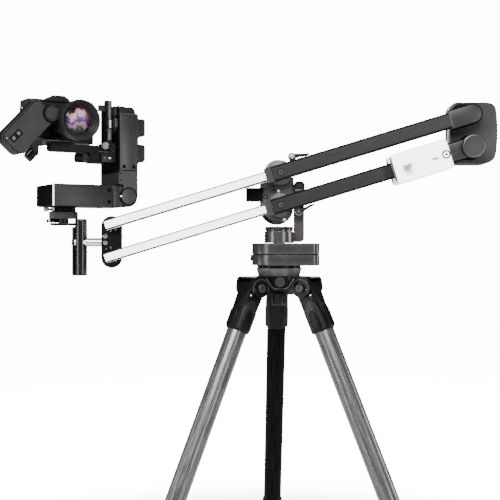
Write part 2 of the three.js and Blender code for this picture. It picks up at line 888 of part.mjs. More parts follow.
// Counterweights on the lower arm
function buildWeights(arm) {
  const half = weightHeight / 2;
  const span = [weightCentre - weightLength / 2, weightCentre + weightLength / 2];
  const outline = roundedRect(span, [-half, half], weightCorner);
  const frontFace = armFront - seatGap;
  const backFace = armBack + seatGap;
  const front = panel(outline, [frontFace - frontWeightThickness, frontFace]);
  const rear = panel(outline, [backFace, backFace + rearWeightThickness]);
  piece(arm, "weight_plates_front", front, silver);
  piece(arm, "weight_plates_rear", rear, silver);
  const knobFace = frontFace - frontWeightThickness - seatGap;
  const knobPlace = [weightCentre - weightKnobAlong, -weightKnobDrop];
  const knob = bar("y", weightKnobRadius, [knobFace - weightKnobHeight, knobFace], knobPlace, smallSteps);
  piece(arm, "weight_knob", knob, silver);
}

// Rear cover, which keeps the two arms parallel
function coverOutline() {
  const shape = new THREE.Shape();
  const right = coverRight;
  shape.moveTo(coverLowLeftCorner - coverLeft, -coverBottom);
  shape.lineTo(right - coverLowRightCorner, -coverBottom);
  shape.quadraticCurveTo(right, -coverBottom, right, coverLowRightCorner - coverBottom);
  shape.quadraticCurveTo(
    right + coverBulge,
    (coverTop - coverBottom) / 2,
    right,
    coverTop - coverTopRightCorner,
  );
  shape.quadraticCurveTo(right, coverTop, right - coverTopRightCorner, coverTop);
  shape.lineTo(coverTopLeftCorner - coverLeft, coverTop);
  shape.quadraticCurveTo(-coverLeft, coverTop, -coverLeft, coverTop - coverTopLeftCorner);
  shape.lineTo(-coverLeft, coverLowLeftCorner - coverBottom);
  shape.quadraticCurveTo(-coverLeft, -coverBottom, coverLowLeftCorner - coverLeft, -coverBottom);
  return shape;
}

function buildRear(parent) {
  const along = rearReach * Math.cos(radians(armSlope));
  const rise = rearReach * Math.sin(radians(armSlope));
  const rear = groupAt(parent, fulcrumX + along, 0, upperPivotHeight + rise);
  const front = armBack + runGap;
  const shell = panel(coverOutline(), [front, front + coverDepth], cornerSteps + 1);
  const upperStub = bar("y", rearStubRadius, [armBack - rearBoreDepth, front + overrun]);
  const knobBack = armFront - linkProud - runGap;
  const stubEnd = knobBack - rearKnobHeight / 2;
  const lowerStub = bar("y", rearStubRadius, [stubEnd, front + overrun], [0, -pivotSpacing]);
  piece(rear, "rear_cover", join(shell, upperStub, lowerStub), darkMetal);
  const knob = bar("y", rearKnobRadius, [knobBack - rearKnobHeight, knobBack], [0, -pivotSpacing]);
  const bore = bar(
    "y",
    rearStubRadius + seatGap,
    [stubEnd - seatGap, knobBack + overrun],
    [0, -pivotSpacing],
  );
  piece(rear, "rear_knob", cut(knob, bore), darkMetal);
}

// Front plate, reach rod and post
function buildFront(parent) {
  const along = frontReach * Math.cos(radians(armSlope));
  const rise = frontReach * Math.sin(radians(armSlope));
  const front = groupAt(parent, fulcrumX - along, 0, upperPivotHeight - rise);
  const plateFront = slideBack + runGap;
  const plateBack = plateFront + plateThickness;
  const outline = capsule([0, -plateLowDrop], [0, -plateTopDrop], plateRadius);
  const stubs = [0, -pivotSpacing].map((height) =>
    bar("y", frontStubRadius, [slideBack - slideWall, plateFront + overrun], [0, height], smallSteps),
  );
  const plate = join(panel(outline, [plateFront, plateBack], smallSteps), ...stubs);
  piece(front, "front_plate", plate, blackMetal);

  const blockFront = plateBack + seatGap;
  const blockRight = rodBlockReach;
  const rodLeft = -postOffset - postRadius;
  const rodBlock = block(
    [-plateRadius, blockRight],
    [blockFront, blockFront + rodBlockDepth],
    [-rodDrop - rodBlockHeight / 2, rodBlockHeight / 2 - rodDrop],
  );
  const rod = bar("x", rodRadius, [rodLeft, -plateRadius / 2], [postAxisDepth, -rodDrop]);
  piece(front, "reach_rod", join(rodBlock, rod), silver);

  const post = bar("z", postRadius, [-postBottom, postTop], [-postOffset, postAxisDepth]);
  const rodBore = bar(
    "x",
    rodRadius + seatGap,
    [rodLeft - overrun, postRadius + overrun - postOffset],
    [postAxisDepth, -rodDrop],
  );
  piece(front, "post", cut(post, rodBore), blackMetal);

  const barRight = rodLeft - seatGap;
  const barLeft = barRight - postBarThickness;
  const plateBottom = postPlateTop - postPlateThickness;
  const halfBar = postBarWidth / 2;
  const halfPlate = postPlateWidth / 2;
  const top = block(
    [-postPlateLeft, -postPlateRight],
    [postAxisDepth - halfPlate, postAxisDepth + halfPlate],
    [plateBottom, postPlateTop],
  );
  const postHole = bar(
    "z",
    postRadius + seatGap,
    [plateBottom - overrun, postPlateTop + overrun],
    [-postOffset, postAxisDepth],
  );
  const upright = block(
    [barLeft, barRight],
    [postAxisDepth - halfBar, postAxisDepth + halfBar],
    [-postBottom, postPlateTop],
  );
  const screw = bar(
    "x",
    postScrewRadius,
    [barLeft - postScrewHeight, barRight],
    [postAxisDepth, -rodDrop],
    smallSteps,
  );
  piece(front, "post_plate", join(cut(top, postHole), upright, screw), blackMetal);
  buildQuickRelease(front);
}

const discStackTop = postPlateTop + tightenDiscRise + tightenDiscThickness;
const clampBlockBottom = discStackTop + seatGap;
const headBottom = clampBlockBottom + clampBlockHeight + seatGap;

function buildQuickRelease(front) {
  const stack = groupAt(front, -panAxisOffset, postAxisDepth, 0);
  const discBottom = postPlateTop + tightenDiscRise;
  const leverBottom = postPlateTop + tightenLeverRise;
  const spacer = bar("z", spacerRadius, [postPlateTop + seatGap, discBottom + overrun], [0, 0]);
  const disc = bar("z", tightenDiscRadius, [discBottom, discStackTop]);
  const shape = roundedRect(
    [-tightenLeverReach, 0],
    [-tightenLeverRadius, tightenLeverRadius],
    [tightenLeverRadius, 0, 0, tightenLeverRadius],
  );
  const lever = slab(shape, [leverBottom, leverBottom + tightenLeverThickness]);
  piece(stack, "tightening_disc", join(spacer, disc, lever), blackMetal);

  const half = clampBlockSize / 2;
  const knobHeight = clampBlockBottom + clampBlockHeight / 2;
  const clamp = block([-half, half], [-half, half], [clampBlockBottom, clampBlockBottom + clampBlockHeight]);
  const shaftBore = bar(
    "x",
    releaseShaftRadius + seatGap,
    [-half - overrun, overrun - half],
    [0, knobHeight],
    smallSteps,
  );
  piece(stack, "quick_release_clamp", cut(clamp, shaftBore), blackMetal);
  const knobEnd = -releaseKnobStart - releaseKnobLength;
  const knob = bar("x", releaseKnobRadius, [knobEnd, -releaseKnobStart], [0, knobHeight], smallSteps);
  const shaftEnd = overrun - half - seatGap;
  const shaftSpan = [-releaseKnobStart - bite, shaftEnd];
  const shaft = bar("x", releaseShaftRadius, shaftSpan, [0, knobHeight], smallSteps);
  piece(stack, "quick_release_knob", join(knob, shaft), silver);
  buildHead(stack);
}

// Remote head
function buildHead(stack) {
  const head = groupAt(stack, 0, 0, headBottom);
  head.rotation.z = radians(headYaw);
  const half = headDepth / 2;
  const inner = half - headWall;
  const shell = block([-headLeft, headSplit], [-half, half], [0, headHeight]);
  const hollow = block(
    [headWall - headLeft, headSplit + overrun],
    [-inner, inner],
    [headWall, headHeight - headWall],
  );
  piece(head, "head_box", cut(shell, hollow), darkMetal);

  const foldZ = headHeight / 2;
  const cheekInner = half - foldCheekThickness;
  const bodyHalf = cheekInner - seatGap;
  const start = headSplit + seatGap;
  const shape = new THREE.Shape();
  shape.moveTo(start, 0);
  shape.lineTo(foldAxisX, foldZ - foldRoundRadius);
  shape.absarc(foldAxisX, foldZ, foldRoundRadius, -quarterTurn, quarterTurn);
  shape.lineTo(start, headHeight);
  const body = panel(shape, [-bodyHalf, bodyHalf], smallSteps);
  const shoulder = block([start, hingeShoulder], [-half, half], [0, headHeight]);
  const stub = bar("y", foldStubRadius, [runGap - half, half - runGap], [foldAxisX, foldZ], smallSteps);
  piece(head, "head_hinge_block", join(body, shoulder, stub), darkMetal);
  buildHeadArm(head, { half, cheekInner, foldZ });
  buildCradle(head);
}

function buildHeadArm(head, { half, cheekInner, foldZ }) {
  const outer = block([armInnerX, armOuterX], [-half, half], [armBottom, armTop]);
  const inner = block(
    [armInnerX + armShell, armOuterX - armShell],
    [armShell - half, half - armShell],
    [armBottom - overrun, armTop - armShell],
  );
  const hump = panel(
    roundedRect(
      [armInnerX, armOuterX],
      [armTop - humpCorner, armTop + humpHeight],
      [0, 0, humpCorner, humpCorner / 2],
    ),
    [humpFront, half],
  );
  const cheeks = [-1, 1].flatMap((side) => {
    const span = side < 0 ? [-half, -cheekInner] : [cheekInner, half];
    return [
      bar("y", foldDiscRadius, span, [foldAxisX, foldZ]),
      block([armInnerX + cheekStrapInset, armOuterX], span, [foldZ, armBottom + overrun]),
    ];
  });
  const wide = half + overrun;
  const foldBore = bar("y", foldStubRadius + seatGap, [-wide, wide], [foldAxisX, foldZ], smallSteps);
  const tiltBore = bar(
    "x",
    tiltStubRadius + seatGap,
    [armInnerX - overrun, armInnerX + tiltStubLength + overrun],
    [tiltAxisY, tiltAxisZ],
  );
  const plateEnd = armOuterX + batteryPlateThickness;
  const plate = block(
    [armOuterX - armShell / 2, plateEnd],
    [batteryPlateFront, batteryPlateBack],
    [batteryPlateBottom, armTop - seatGap],
  );
  const arm = cut(join(cut(join(outer, hump), inner), ...cheeks, plate), foldBore, tiltBore);
  piece(head, "head_arm", arm, darkMetal);

  const batteryX = [plateEnd + seatGap, plateEnd + seatGap + batteryThickness];
  const batteryY = [batteryPlateFront + batteryInset, batteryPlateBack - batteryInset / 2];
  for (const [name, bottom] of [
    ["upper", upperBatteryBottom],
    ["lower", lowerBatteryBottom],
  ]) {
    const shape = roundedRect(
      batteryX,
      [bottom, bottom + batteryHeight],
      [0, batteryCorner, batteryCorner, 0],
    );
    piece(head, `head_battery_${name}`, panel(shape, batteryY), softBlack);
  }
}

// Tilting cradle and what it carries
function buildCradle(head) {
  const hubFace = armInnerX - seatGap;
  const railRight = hubFace - tiltHubThickness;
  const railLeft = railRight - railThickness;
  const railSpan = [tiltAxisY - railWidth / 2, tiltAxisY + railWidth / 2];
  const place = [tiltAxisY, tiltAxisZ];
  const hub = bar("x", tiltHubRadius, [railRight, hubFace], place);
  const stub = bar("x", tiltStubRadius, [railRight, armInnerX + tiltStubLength], place);
  const rail = block([railLeft, railRight], railSpan, [railBottom, railTop]);
  piece(head, "tilt_cradle", join(hub, stub, rail), blackMetal);

  const clampInner = railLeft - clampLeftWall;
  const clampOuter = railRight + clampRightWall;
  const halfClamp = clampWidth / 2;
  const clampSpan = [tiltAxisY - halfClamp, tiltAxisY + halfClamp];
  const jaw = block([clampInner, clampOuter], clampSpan, [clampBottom, clampTop]);
  const railBore = block(
    [railLeft - seatGap, railRight + seatGap],
    [railSpan[0] - seatGap, railSpan[1] + seatGap],
    [clampBottom - overrun, clampTop + overrun],
  );
  const knobZ = clampTop - clampKnobFaceRadius;
  const knobX = (railLeft + railRight) / 2;
  const knobSpan = [clampSpan[0] - clampKnobProud, clampSpan[0] + bite];
  const knob = bar("y", clampKnobFaceRadius, knobSpan, [knobX, knobZ]);
  const halfBar = crossBarWidth / 2;
  const crossSpan = [tiltAxisY - halfBar, tiltAxisY + halfBar];
  const crossTop = crossBarBottom + crossBarThickness;
  const cross = block([crossBarLeft, clampInner + bite], crossSpan, [crossBarBottom, crossTop]);
  const side = block([sideClampLeft, clampInner + bite], crossSpan, [sideClampBottom, crossBarBottom + bite]);
  const sideZ = (sideClampBottom + crossBarBottom) / 2;
  const sideKnobSpan = [sideClampLeft - sideKnobLength, sideClampLeft + bite];
  const sideKnob = bar("x", sideKnobRadius, sideKnobSpan, [tiltAxisY, sideZ]);
  piece(head, "cradle_clamp", join(cut(jaw, railBore), knob, cross, side, sideKnob), blackMetal);

  const plateBottom = crossTop + seatGap;
  const plateTop = plateBottom + cameraPlateThickness;
  const plate = block(
    [cameraPlateLeft, cameraPlateRight],
    [cameraPlateFront, cameraPlateBack],
    [plateBottom, plateTop],
  );
  const jawEnd = halfBar + seatGap + jawThickness;
  const jaws = [-1, 1].map((way) => {
    const near = tiltAxisY + way * (halfBar + seatGap);
    const far = tiltAxisY + way * jawEnd;
    const span = [Math.min(near, far), Math.max(near, far)];
    return block([jawLeft, jawRight], span, [plateBottom - jawHeight, plateBottom + seatGap]);
  });
  const tab = block(
    [cameraPlateLeft - tabReach, cameraPlateLeft + tabReach],
    [tabFront, tabBack],
    [plateBottom, plateTop],
  );
  piece(head, "camera_plate", join(plate, tab, ...jaws), blackMetal);

  buildCamera(head, plateTop + seatGap);
  buildFocusModule(head, plateTop);
}

function buildCamera(head, base) {
  const top = base + cameraHeight;
  const plan = roundedRect([cameraLeft, cameraRight], [cameraFront, cameraBack], cameraCorner);
  const body = slab(plan, [base, top]);
  const finder = new THREE.Shape();
  finder.moveTo(finderLeft, top - overrun);
  finder.lineTo(finderRight, top - overrun);
  finder.lineTo(finderRight, top);
  finder.lineTo(finderRight - finderTopInset / 2, top + finderHeight);
  finder.lineTo(finderLeft + finderTopInset, top + finderHeight);
  finder.lineTo(finderLeft, top);
  const gripPlan = roundedRect(
    [cameraLeft, cameraLeft + gripWidth],
    [gripFront, cameraFront + cameraCorner],
    [cameraCorner, cameraCorner, 0, 0],
  );
  const grip = slab(gripPlan, [base + gripInset, top - gripInset]);
  piece(head, "camera_body", join(body, panel(finder, [finderFront, finderBack]), grip), softBlack);

  const lens = groupAt(head, lensX, 0, lensZ);
  const back = cameraFront - seatGap;
  const ringFront = focusRingBack - focusRingLength;
  const hoodBack = lensFrontY + lensHoodLength;
  const barrel = turned("y", [
    [0, back],
    [lensMountRadius, back],
    [lensMountRadius, back - lensMountLength],
    [lensBarrelRadius, back - lensMountLength],
    [lensBarrelRadius, focusRingBack + seatGap],
    [lensCoreRadius, focusRingBack + seatGap],
    [lensCoreRadius, ringFront - seatGap],
    [lensBarrelRadius, ringFront - seatGap],
    [lensBarrelRadius, hoodBack],
    [lensHoodRadius, hoodBack],
    [lensHoodRadius, lensFrontY],
    [(lensHoodRadius + lensBarrelRadius) / 2, lensFrontY],
    [lensGlassRadius, lensFrontY + lensGlassDepth],
    [0, lensFrontY + lensGlassDepth],
  ]);
  piece(lens, "camera_lens", barrel, glassBlack);
  const ring = turned("y", [
    [lensCoreRadius + seatGap, ringFront],
    [focusRingRadius, ringFront],
    [focusRingRadius, focusRingBack],
    [lensCoreRadius + seatGap, focusRingBack],
    [lensCoreRadius + seatGap, ringFront],
  ]);
  piece(lens, "focus_ring", ring, softBlack);
}

function buildFocusModule(head, tabTop) {
  const module = groupAt(head, moduleX, 0, moduleZ);
  module.rotation.y = -radians(moduleTilt);
  const toModule = new THREE.Matrix4().makeTranslation(moduleX, 0, moduleZ);
  toModule.multiply(new THREE.Matrix4().makeRotationY(-radians(moduleTilt)));
  const fromHead = toModule.invert();
  const backFace = moduleFront + moduleThickness;
  const wheelBack = wheelFront + wheelThickness;
  const wheelAt = new THREE.Vector3(wheelX, 0, wheelZ).applyMatrix4(fromHead);
  const wheelPlace = [wheelAt.x, wheelAt.z];
  const halfLong = moduleLength / 2;
  const halfWide = moduleWidth / 2;
  const caseSolid = panel(
    roundedRect([-halfLong, halfLong], [-halfWide, halfWide], moduleCorner),
    [moduleFront, backFace],
  );
  const notch = bar("y", wheelRadius + wheelNotchGap, [moduleFront - overrun, wheelBack + runGap], wheelPlace);
  const pad = bar("y", wheelPadRadius, [wheelBack + runGap, backFace], wheelPlace);
  const shaftEnd = wheelBack - wheelShaftLength;
  const shaft = bar("y", wheelShaftRadius, [shaftEnd, backFace], wheelPlace, smallSteps);
  const pocket = buttonSize / 2 + seatGap;
  const pocketEnd = moduleFront - buttonProud + buttonHeight + buttonTravel + seatGap;
  const pockets = Object.values(buttonPlaces).map((along) =>
    block(
      [along - pocket, along + pocket],
      [moduleFront - overrun, pocketEnd],
      [buttonShift - pocket, buttonShift + pocket],
    ),
  );
  const flat = (made) => transformed(made, fromHead);
  const lugTop = tabTop;
  const lug = flat(
    block(
      [lugLeft, cameraPlateLeft - tabReach - seatGap],
      [backFace - moduleLugWidth, backFace],
      [lugTop - moduleLugHeight, lugTop],
    ),
  );
  const strut = flat(
    block(
      [strutLeft, strutRight],
      [backFace - moduleLugWidth, backFace],
      [lugTop - moduleLugHeight - strutDrop, lugTop - seatGap],
    ),
  );
  const knobAt = new THREE.Vector3(moduleKnobX, 0, moduleKnobZ).applyMatrix4(fromHead);
  const knobMiddle = backFace - moduleLugWidth / 2;
  const halfKnob = moduleKnobLength / 2;
  const knob = bar("x", moduleKnobRadius, [knobAt.x - halfKnob, knobAt.x + halfKnob], [knobMiddle, knobAt.z]);
  const made = join(cut(caseSolid, notch, ...pockets), pad, shaft, lug, strut, knob);
  piece(module, "focus_module", made, darkMetal);

  const wheel = bar("y", wheelRadius, [wheelFront, wheelBack], wheelPlace);
  const wheelBore = bar(
    "y",
    wheelShaftRadius + seatGap,
    [shaftEnd - seatGap, wheelBack + overrun],
    wheelPlace,
    smallSteps,
  );
  piece(module, "focus_wheel", cut(wheel, wheelBore), darkMetal);
  const halfButton = buttonSize / 2;
  const buttonFront = moduleFront - buttonProud;
  for (const [name, along] of Object.entries(buttonPlaces)) {
    const button = block(
      [along - halfButton, along + halfButton],
      [buttonFront, buttonFront + buttonHeight],
      [buttonShift - halfButton, buttonShift + halfButton],
    );
    piece(module, `focus_button_${name}`, button, softBlack);
  }
}

// A solid moved by a matrix.
function transformed(solid, matrix) {
  return solidOf(geometryOf(solid).applyMatrix4(matrix));
}

// The whole crane, moved so that its origin is the middle of its footprint on the floor
const crane = new THREE.Group();
const rig = groupAt(crane, 0, 0, 0);
buildTripod(rig);
buildBase(rig);
buildPanDrum(rig);
buildFulcrum(rig);
buildArm(rig, "upper", upperPivotHeight, 1);
buildWeights(buildArm(rig, "lower", lowerPivotHeight, -1));
buildRear(rig);
buildFront(rig);
crane.updateMatrixWorld(true);
const extent = new THREE.Box3().setFromObject(crane, true);
rig.position.set(
  -(extent.min.x + extent.max.x) / 2,
  -(extent.min.y + extent.max.y) / 2,
  -extent.min.z,
);

export default crane;
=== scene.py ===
"""A camera jib crane on a carbon tripod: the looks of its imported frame. Metres, +Z up; forms in mm."""

import json
import math

import bmesh
import bpy
from mathutils import Matrix, Vector
from mathutils.geometry import intersect_line_sphere_2d


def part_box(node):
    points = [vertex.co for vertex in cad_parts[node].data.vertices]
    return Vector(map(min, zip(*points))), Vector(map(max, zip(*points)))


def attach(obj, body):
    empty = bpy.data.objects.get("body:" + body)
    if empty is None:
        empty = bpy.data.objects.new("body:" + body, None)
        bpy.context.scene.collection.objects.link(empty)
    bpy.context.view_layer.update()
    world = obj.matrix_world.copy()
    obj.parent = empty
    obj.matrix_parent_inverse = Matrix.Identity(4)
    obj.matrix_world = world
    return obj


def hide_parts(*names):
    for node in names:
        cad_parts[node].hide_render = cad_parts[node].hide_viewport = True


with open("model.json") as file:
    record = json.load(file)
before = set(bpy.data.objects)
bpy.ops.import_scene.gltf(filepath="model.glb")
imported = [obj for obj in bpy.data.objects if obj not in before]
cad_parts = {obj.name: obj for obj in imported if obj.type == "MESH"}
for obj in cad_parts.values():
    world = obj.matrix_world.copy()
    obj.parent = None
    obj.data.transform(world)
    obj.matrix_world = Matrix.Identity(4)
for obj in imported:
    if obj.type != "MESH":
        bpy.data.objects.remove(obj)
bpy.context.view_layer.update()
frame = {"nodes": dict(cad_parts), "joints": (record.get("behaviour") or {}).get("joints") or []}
joints = {joint["name"]: joint for joint in frame["joints"]}

MM = 0.001
STEPS = 72
SMALL_STEPS = 36
ARC_STEPS = 8
EASE = 0.5
SEAT = 0.15
SHARP = math.radians(32)
UP = Vector((0, 0, 1))


# Places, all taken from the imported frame


def at(x, y, z):
    return Matrix.Translation((x, y, z))


def millimetres(x, y, z):
    return at(x * MM, y * MM, z * MM)


def axes(origin, x, y, z):
    """The frame with that origin and those axes."""
    return at(*origin) @ Matrix((x, y, z)).transposed().to_4x4()


def extent(node, place):
    """Lowest and highest corner of a CAD node in a local frame, in millimetres."""
    back = place.inverted()
    points = [back @ vertex.co for vertex in frame["nodes"][node].data.vertices]
    return [Vector([way(point[i] for point in points) / MM for i in range(3)]) for way in (min, max)]


def joint_place(name):
    return Vector(joints[name]["pos_m"])


def joint_axis(name):
    return Vector(joints[name]["axis"]).normalized()


def spot(name, place):
    """A joint in a local frame, in millimetres."""
    return place.inverted() @ joint_place(name) / MM


def leg_place(side):
    """Origin on the leg's hinge pin, z up along the leg."""
    z = -joint_axis(f"leg_slide_{side}")
    y = -joint_axis(f"leg_spread_{side}")
    return axes(joint_place(f"leg_spread_{side}"), y.cross(z), y, z)


def arm_place(joint):
    """Origin on the arm's pivot, x along the arm."""
    y = Vector((0, 1, 0))
    return axes(joint_place(joint), ARM_WAY, y, ARM_WAY.cross(y))


ARM_WAY = joint_axis("upper_extend")
RIG = at(*joint_place("pan_turn").xy, 0)
UPPER = arm_place("jib_tilt")
LOWER = arm_place("lower_arm_tilt")
REAR = at(*joint_place("rear_cover_level"))
FRONT = at(*joint_place("front_plate_level"))
STACK = at(*joint_place("head_pan").xy, joint_place("front_plate_level").z)
HEAD_X = joint_axis("head_tilt")
HEAD = axes((*joint_place("head_pan").xy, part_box("head_box")[0][2]), HEAD_X, UP.cross(HEAD_X), UP)
LENS_POINT = (-4, 0, 148.5)
LENS = HEAD @ millimetres(*LENS_POINT)
MODULE = HEAD @ millimetres(-92, 0, 132.8) @ Matrix.Rotation(math.radians(-47), 4, "Y")
ARM_SPACING = spot("jib_tilt", RIG).z - spot("lower_arm_tilt", RIG).z


# Camera, floor and lights

PIXEL = 1.82 * MM
EYE_DISTANCE = 1800 * MM
EYE_LEFT = 52.8 * MM
EYE_HEIGHT = 618.8 * MM
IMAGE_WIDTH = 500
HORIZON_ROW = 245
WHITE = (1, 1, 1, 1)
WHITE_GLOW = 14.0
WORLD_LIGHT = 0.12
PALE_RADIUS = 0.4
GLOW_RADIUS = 0.8
FLOOR_SIZE = 24.0


def shown(name, data):
    """A new object in the scene."""
    made = bpy.data.objects.new(name, data)
    bpy.context.scene.collection.objects.link(made)
    return made


def feed(tree, node, sockets):
    """Inputs by name or number, each from a value or from another node's output."""
    for name, value in sockets.items():
        if isinstance(value, bpy.types.NodeSocket):
            tree.links.new(value, node.inputs[name])
        else:
            node.inputs[name].default_value = value


def add_node(tree, kind, sockets, output=0, **settings):
    """A new node with its settings and inputs. Gives one of its outputs."""
    made = tree.nodes.new(kind)
    for name, value in settings.items():
        setattr(made, name, value)
    feed(tree, made, sockets)
    return made.outputs[output] if made.outputs else made


def make_camera():
    data = bpy.data.cameras.new("camera")
    data.sensor_width = 36
    data.lens = data.sensor_width * EYE_DISTANCE / (IMAGE_WIDTH * PIXEL)
    data.shift_y = (HORIZON_ROW - IMAGE_WIDTH / 2) / IMAGE_WIDTH
    data.clip_start = 0.05
    data.clip_end = 60
    camera = shown("camera", data)
    camera.location = RIG @ Vector((-EYE_LEFT, -EYE_DISTANCE, EYE_HEIGHT))
    camera.rotation_euler = (math.radians(90), 0, 0)
    bpy.context.scene.camera = camera


def make_floor():
    """A pale floor that is lit near the object and runs out into the white of the studio."""
    mesh = bpy.data.meshes.new("floor")
    half = FLOOR_SIZE / 2
    corners = [(-half, -half, 0), (half, -half, 0), (half, half, 0), (-half, half, 0)]
    mesh.from_pydata(corners, [], [range(4)])
    surface = Surface("floor_paper", (0.93, 0.93, 0.93), roughness=0.9)
    grain = surface.noise(60, 3)
    surface.bump(grain, 0.02, MM)
    surface.shades(grain, 0.985, 1.01)
    away = surface.add("ShaderNodeVectorMath", {0: surface.place()}, "Value", operation="LENGTH")
    glow = surface.ranged(away, (PALE_RADIUS, GLOW_RADIUS), (0, 1), interpolation_type="SMOOTHSTEP")
    seen = surface.maths("MULTIPLY", glow, surface.add("ShaderNodeLightPath", {}, "Is Camera Ray"))
    surface.takes({"Emission Color": WHITE, "Emission Strength": surface.maths("MULTIPLY", seen, WHITE_GLOW)})
    mesh.materials.append(surface.material)
    shown("floor", mesh)


def make_world():
    world = bpy.data.worlds.new("world")
    bpy.context.scene.world = world
    world.use_nodes = True
    tree = world.node_tree
    tree.nodes.clear()
    lit, seen = (
        add_node(tree, "ShaderNodeBackground", {"Color": WHITE, "Strength": strength})
        for strength in (WORLD_LIGHT, WHITE_GLOW)
    )
    path = add_node(tree, "ShaderNodeLightPath", {}, "Is Camera Ray")
    mix = add_node(tree, "ShaderNodeMixShader", {"Fac": path, 1: lit, 2: seen})
    add_node(tree, "ShaderNodeOutputWorld", {"Surface": mix})


def area_light(name, place, size, power, target=(0, 0, 0.65)):
    data = bpy.data.lights.new(name, "AREA")
    data.shape = "RECTANGLE"
    data.size, data.size_y = size
    data.energy = power
    light = shown(name, data)
    light.location = place
    light.rotation_euler = (Vector(target) - Vector(place)).to_track_quat("-Z", "Y").to_euler()


def make_lights():
    area_light("left_strip", (-2.4, 0.1, 0.7), (0.15, 1.6), 35)
    area_light("left_front_strip", (-1.9, -1.3, 0.7), (0.3, 1.6), 45)
    area_light("right_strip", (2.4, 0.1, 0.7), (0.25, 1.6), 64)
    area_light("right_front_strip", (1.5, -2.0, 0.7), (0.3, 1.4), 40)
    area_light("front_softbox", (-0.4, -2.2, 2.1), (1.6, 0.8), 276)
    area_light("top_light", (0.4, -0.2, 2.4), (1.2, 0.8), 20)
    area_light("rear_softbox", (0.3, 2.7, 1.8), (1.8, 1.2), 110)


# Surfaces


class Surface:
    """A procedural material round one Principled shader."""

    def __init__(self, name, color, roughness=0.5, metallic=0.0, sockets=None):
        self.material = bpy.data.materials.new(name)
        self.material.use_nodes = True
        self.tree = self.material.node_tree
        self.shader = self.tree.nodes["Principled BSDF"]
        self.color = color
        base = {"Base Color": (*color, 1), "Roughness": roughness, "Metallic": metallic}
        self.takes({**base, **(sockets or {})})

    def takes(self, sockets):
        feed(self.tree, self.shader, sockets)

    def add(self, kind, sockets, output=0, **settings):
        return add_node(self.tree, kind, sockets, output, **settings)

    def maths(self, operation, first, second):
        return self.add("ShaderNodeMath", {0: first, 1: second}, operation=operation)

    def place(self, stretch=(1, 1, 1), by="Object", sockets=None, kind="POINT"):
        """Object or UV coordinates, stretched. TEXTURE undoes a turn, then the stretch."""
        source = self.add("ShaderNodeTexCoord", {}, by)
        sockets = {"Vector": source, "Scale": stretch, **(sockets or {})}
        return self.add("ShaderNodeMapping", sockets, vector_type=kind)

    def noise(self, scale, detail=4, place=None, **settings):
        sockets = {"Scale": scale, "Detail": detail, "Vector": place or self.place()}
        return self.add("ShaderNodeTexNoise", sockets, "Fac", **settings)

    def cells(self, scale):
        return self.add("ShaderNodeTexVoronoi", {"Scale": scale, "Vector": self.place()}, "Distance")

    def ranged(self, value, source, target, **settings):
        """A value moved from one range to another."""
        names = ("Value", "From Min", "From Max", "To Min", "To Max")
        sockets = dict(zip(names, (value, *source, *target)))
        return self.add("ShaderNodeMapRange", sockets, "Result", **settings)

    def ramp(self, factor, stops):
        """A colour ramp through stops of (share, colour)."""
        made = self.tree.nodes.new("ShaderNodeValToRGB")
        elements = made.color_ramp.elements
        for share, _ in stops[1:-1]:
            elements.new(share)
        for element, (share, color) in zip(elements, stops):
            element.position = share
            element.color = (*color, 1)
        feed(self.tree, made, {"Fac": factor})
        return made.outputs["Color"]

    def shades(self, factor, dark, light, low=0.3, high=0.7):
        """The base colour runs from the dark to the light share of its own colour."""
        stops = [(place, [c * share for c in self.color]) for place, share in ((low, dark), (high, light))]
        self.takes({"Base Color": self.ramp(factor, stops)})

    def rough(self, factor, low, high):
        self.takes({"Roughness": self.ranged(factor, (0, 1), (low, high))})

    def bump(self, height, strength, distance):
        sockets = {"Strength": strength, "Distance": distance, "Height": height}
        self.takes({"Normal": self.add("ShaderNodeBump", sockets)})


def anodised(name, color, roughness=0.38, metallic=0.6):
    """Bead blasted and anodised metal: fine grain, slow changes of tone and gloss."""
    sockets = {"Specular IOR Level": 0.25, "Specular Tint": (0.25, 0.25, 0.25, 1)}
    surface = Surface(name, color, roughness, metallic, sockets)
    surface.shades(surface.noise(22, 5), 0.82, 1.18)
    surface.rough(surface.noise(90), roughness - 0.06, roughness + 0.08)
    surface.bump(surface.noise(2600, 2), 0.12, 0.02 * MM)
    return surface.material


def brushed(name, color, along, roughness=0.34, metallic=0.9, depth=0.1, spread=0.12):
    """Metal brushed along one direction of the row frame."""
    sockets = {"Anisotropic": 0.4, "Specular Tint": (0.4, 0.4, 0.4, 1)}
    surface = Surface(name, color, roughness, metallic, sockets)
    long, fine = 30 * MM, 0.4 * MM
    turn = Vector((1, 0, 0)).rotation_difference(Vector(along)).to_euler()
    streaks = surface.noise(1, 3, surface.place((long, fine, fine), "Object", {"Rotation": turn}, "TEXTURE"))
    surface.shades(streaks, 1 - spread, 1 + spread, 0.35, 0.65)
    surface.rough(streaks, roughness - 0.04, roughness + 0.06)
    surface.bump(streaks, depth, 0.01 * MM)
    return surface.material


def turned_metal(name, color, roughness=0.28, metallic=0.9, depth=0.1, spread=0.12):
    """Metal with the fine circular marks of a lathe, along the mapped profile."""
    surface = Surface(name, color, roughness, metallic, {"Anisotropic": 0.4})
    marks = surface.noise(1, 4, surface.place((8, 5200, 1), "UV"), noise_dimensions="2D")
    surface.shades(marks, 1 - spread, 1 + spread, 0.35, 0.65)
    surface.rough(marks, roughness - 0.4 * spread, roughness + 0.6 * spread)
    surface.bump(marks, depth, 0.01 * MM)
    return surface.material


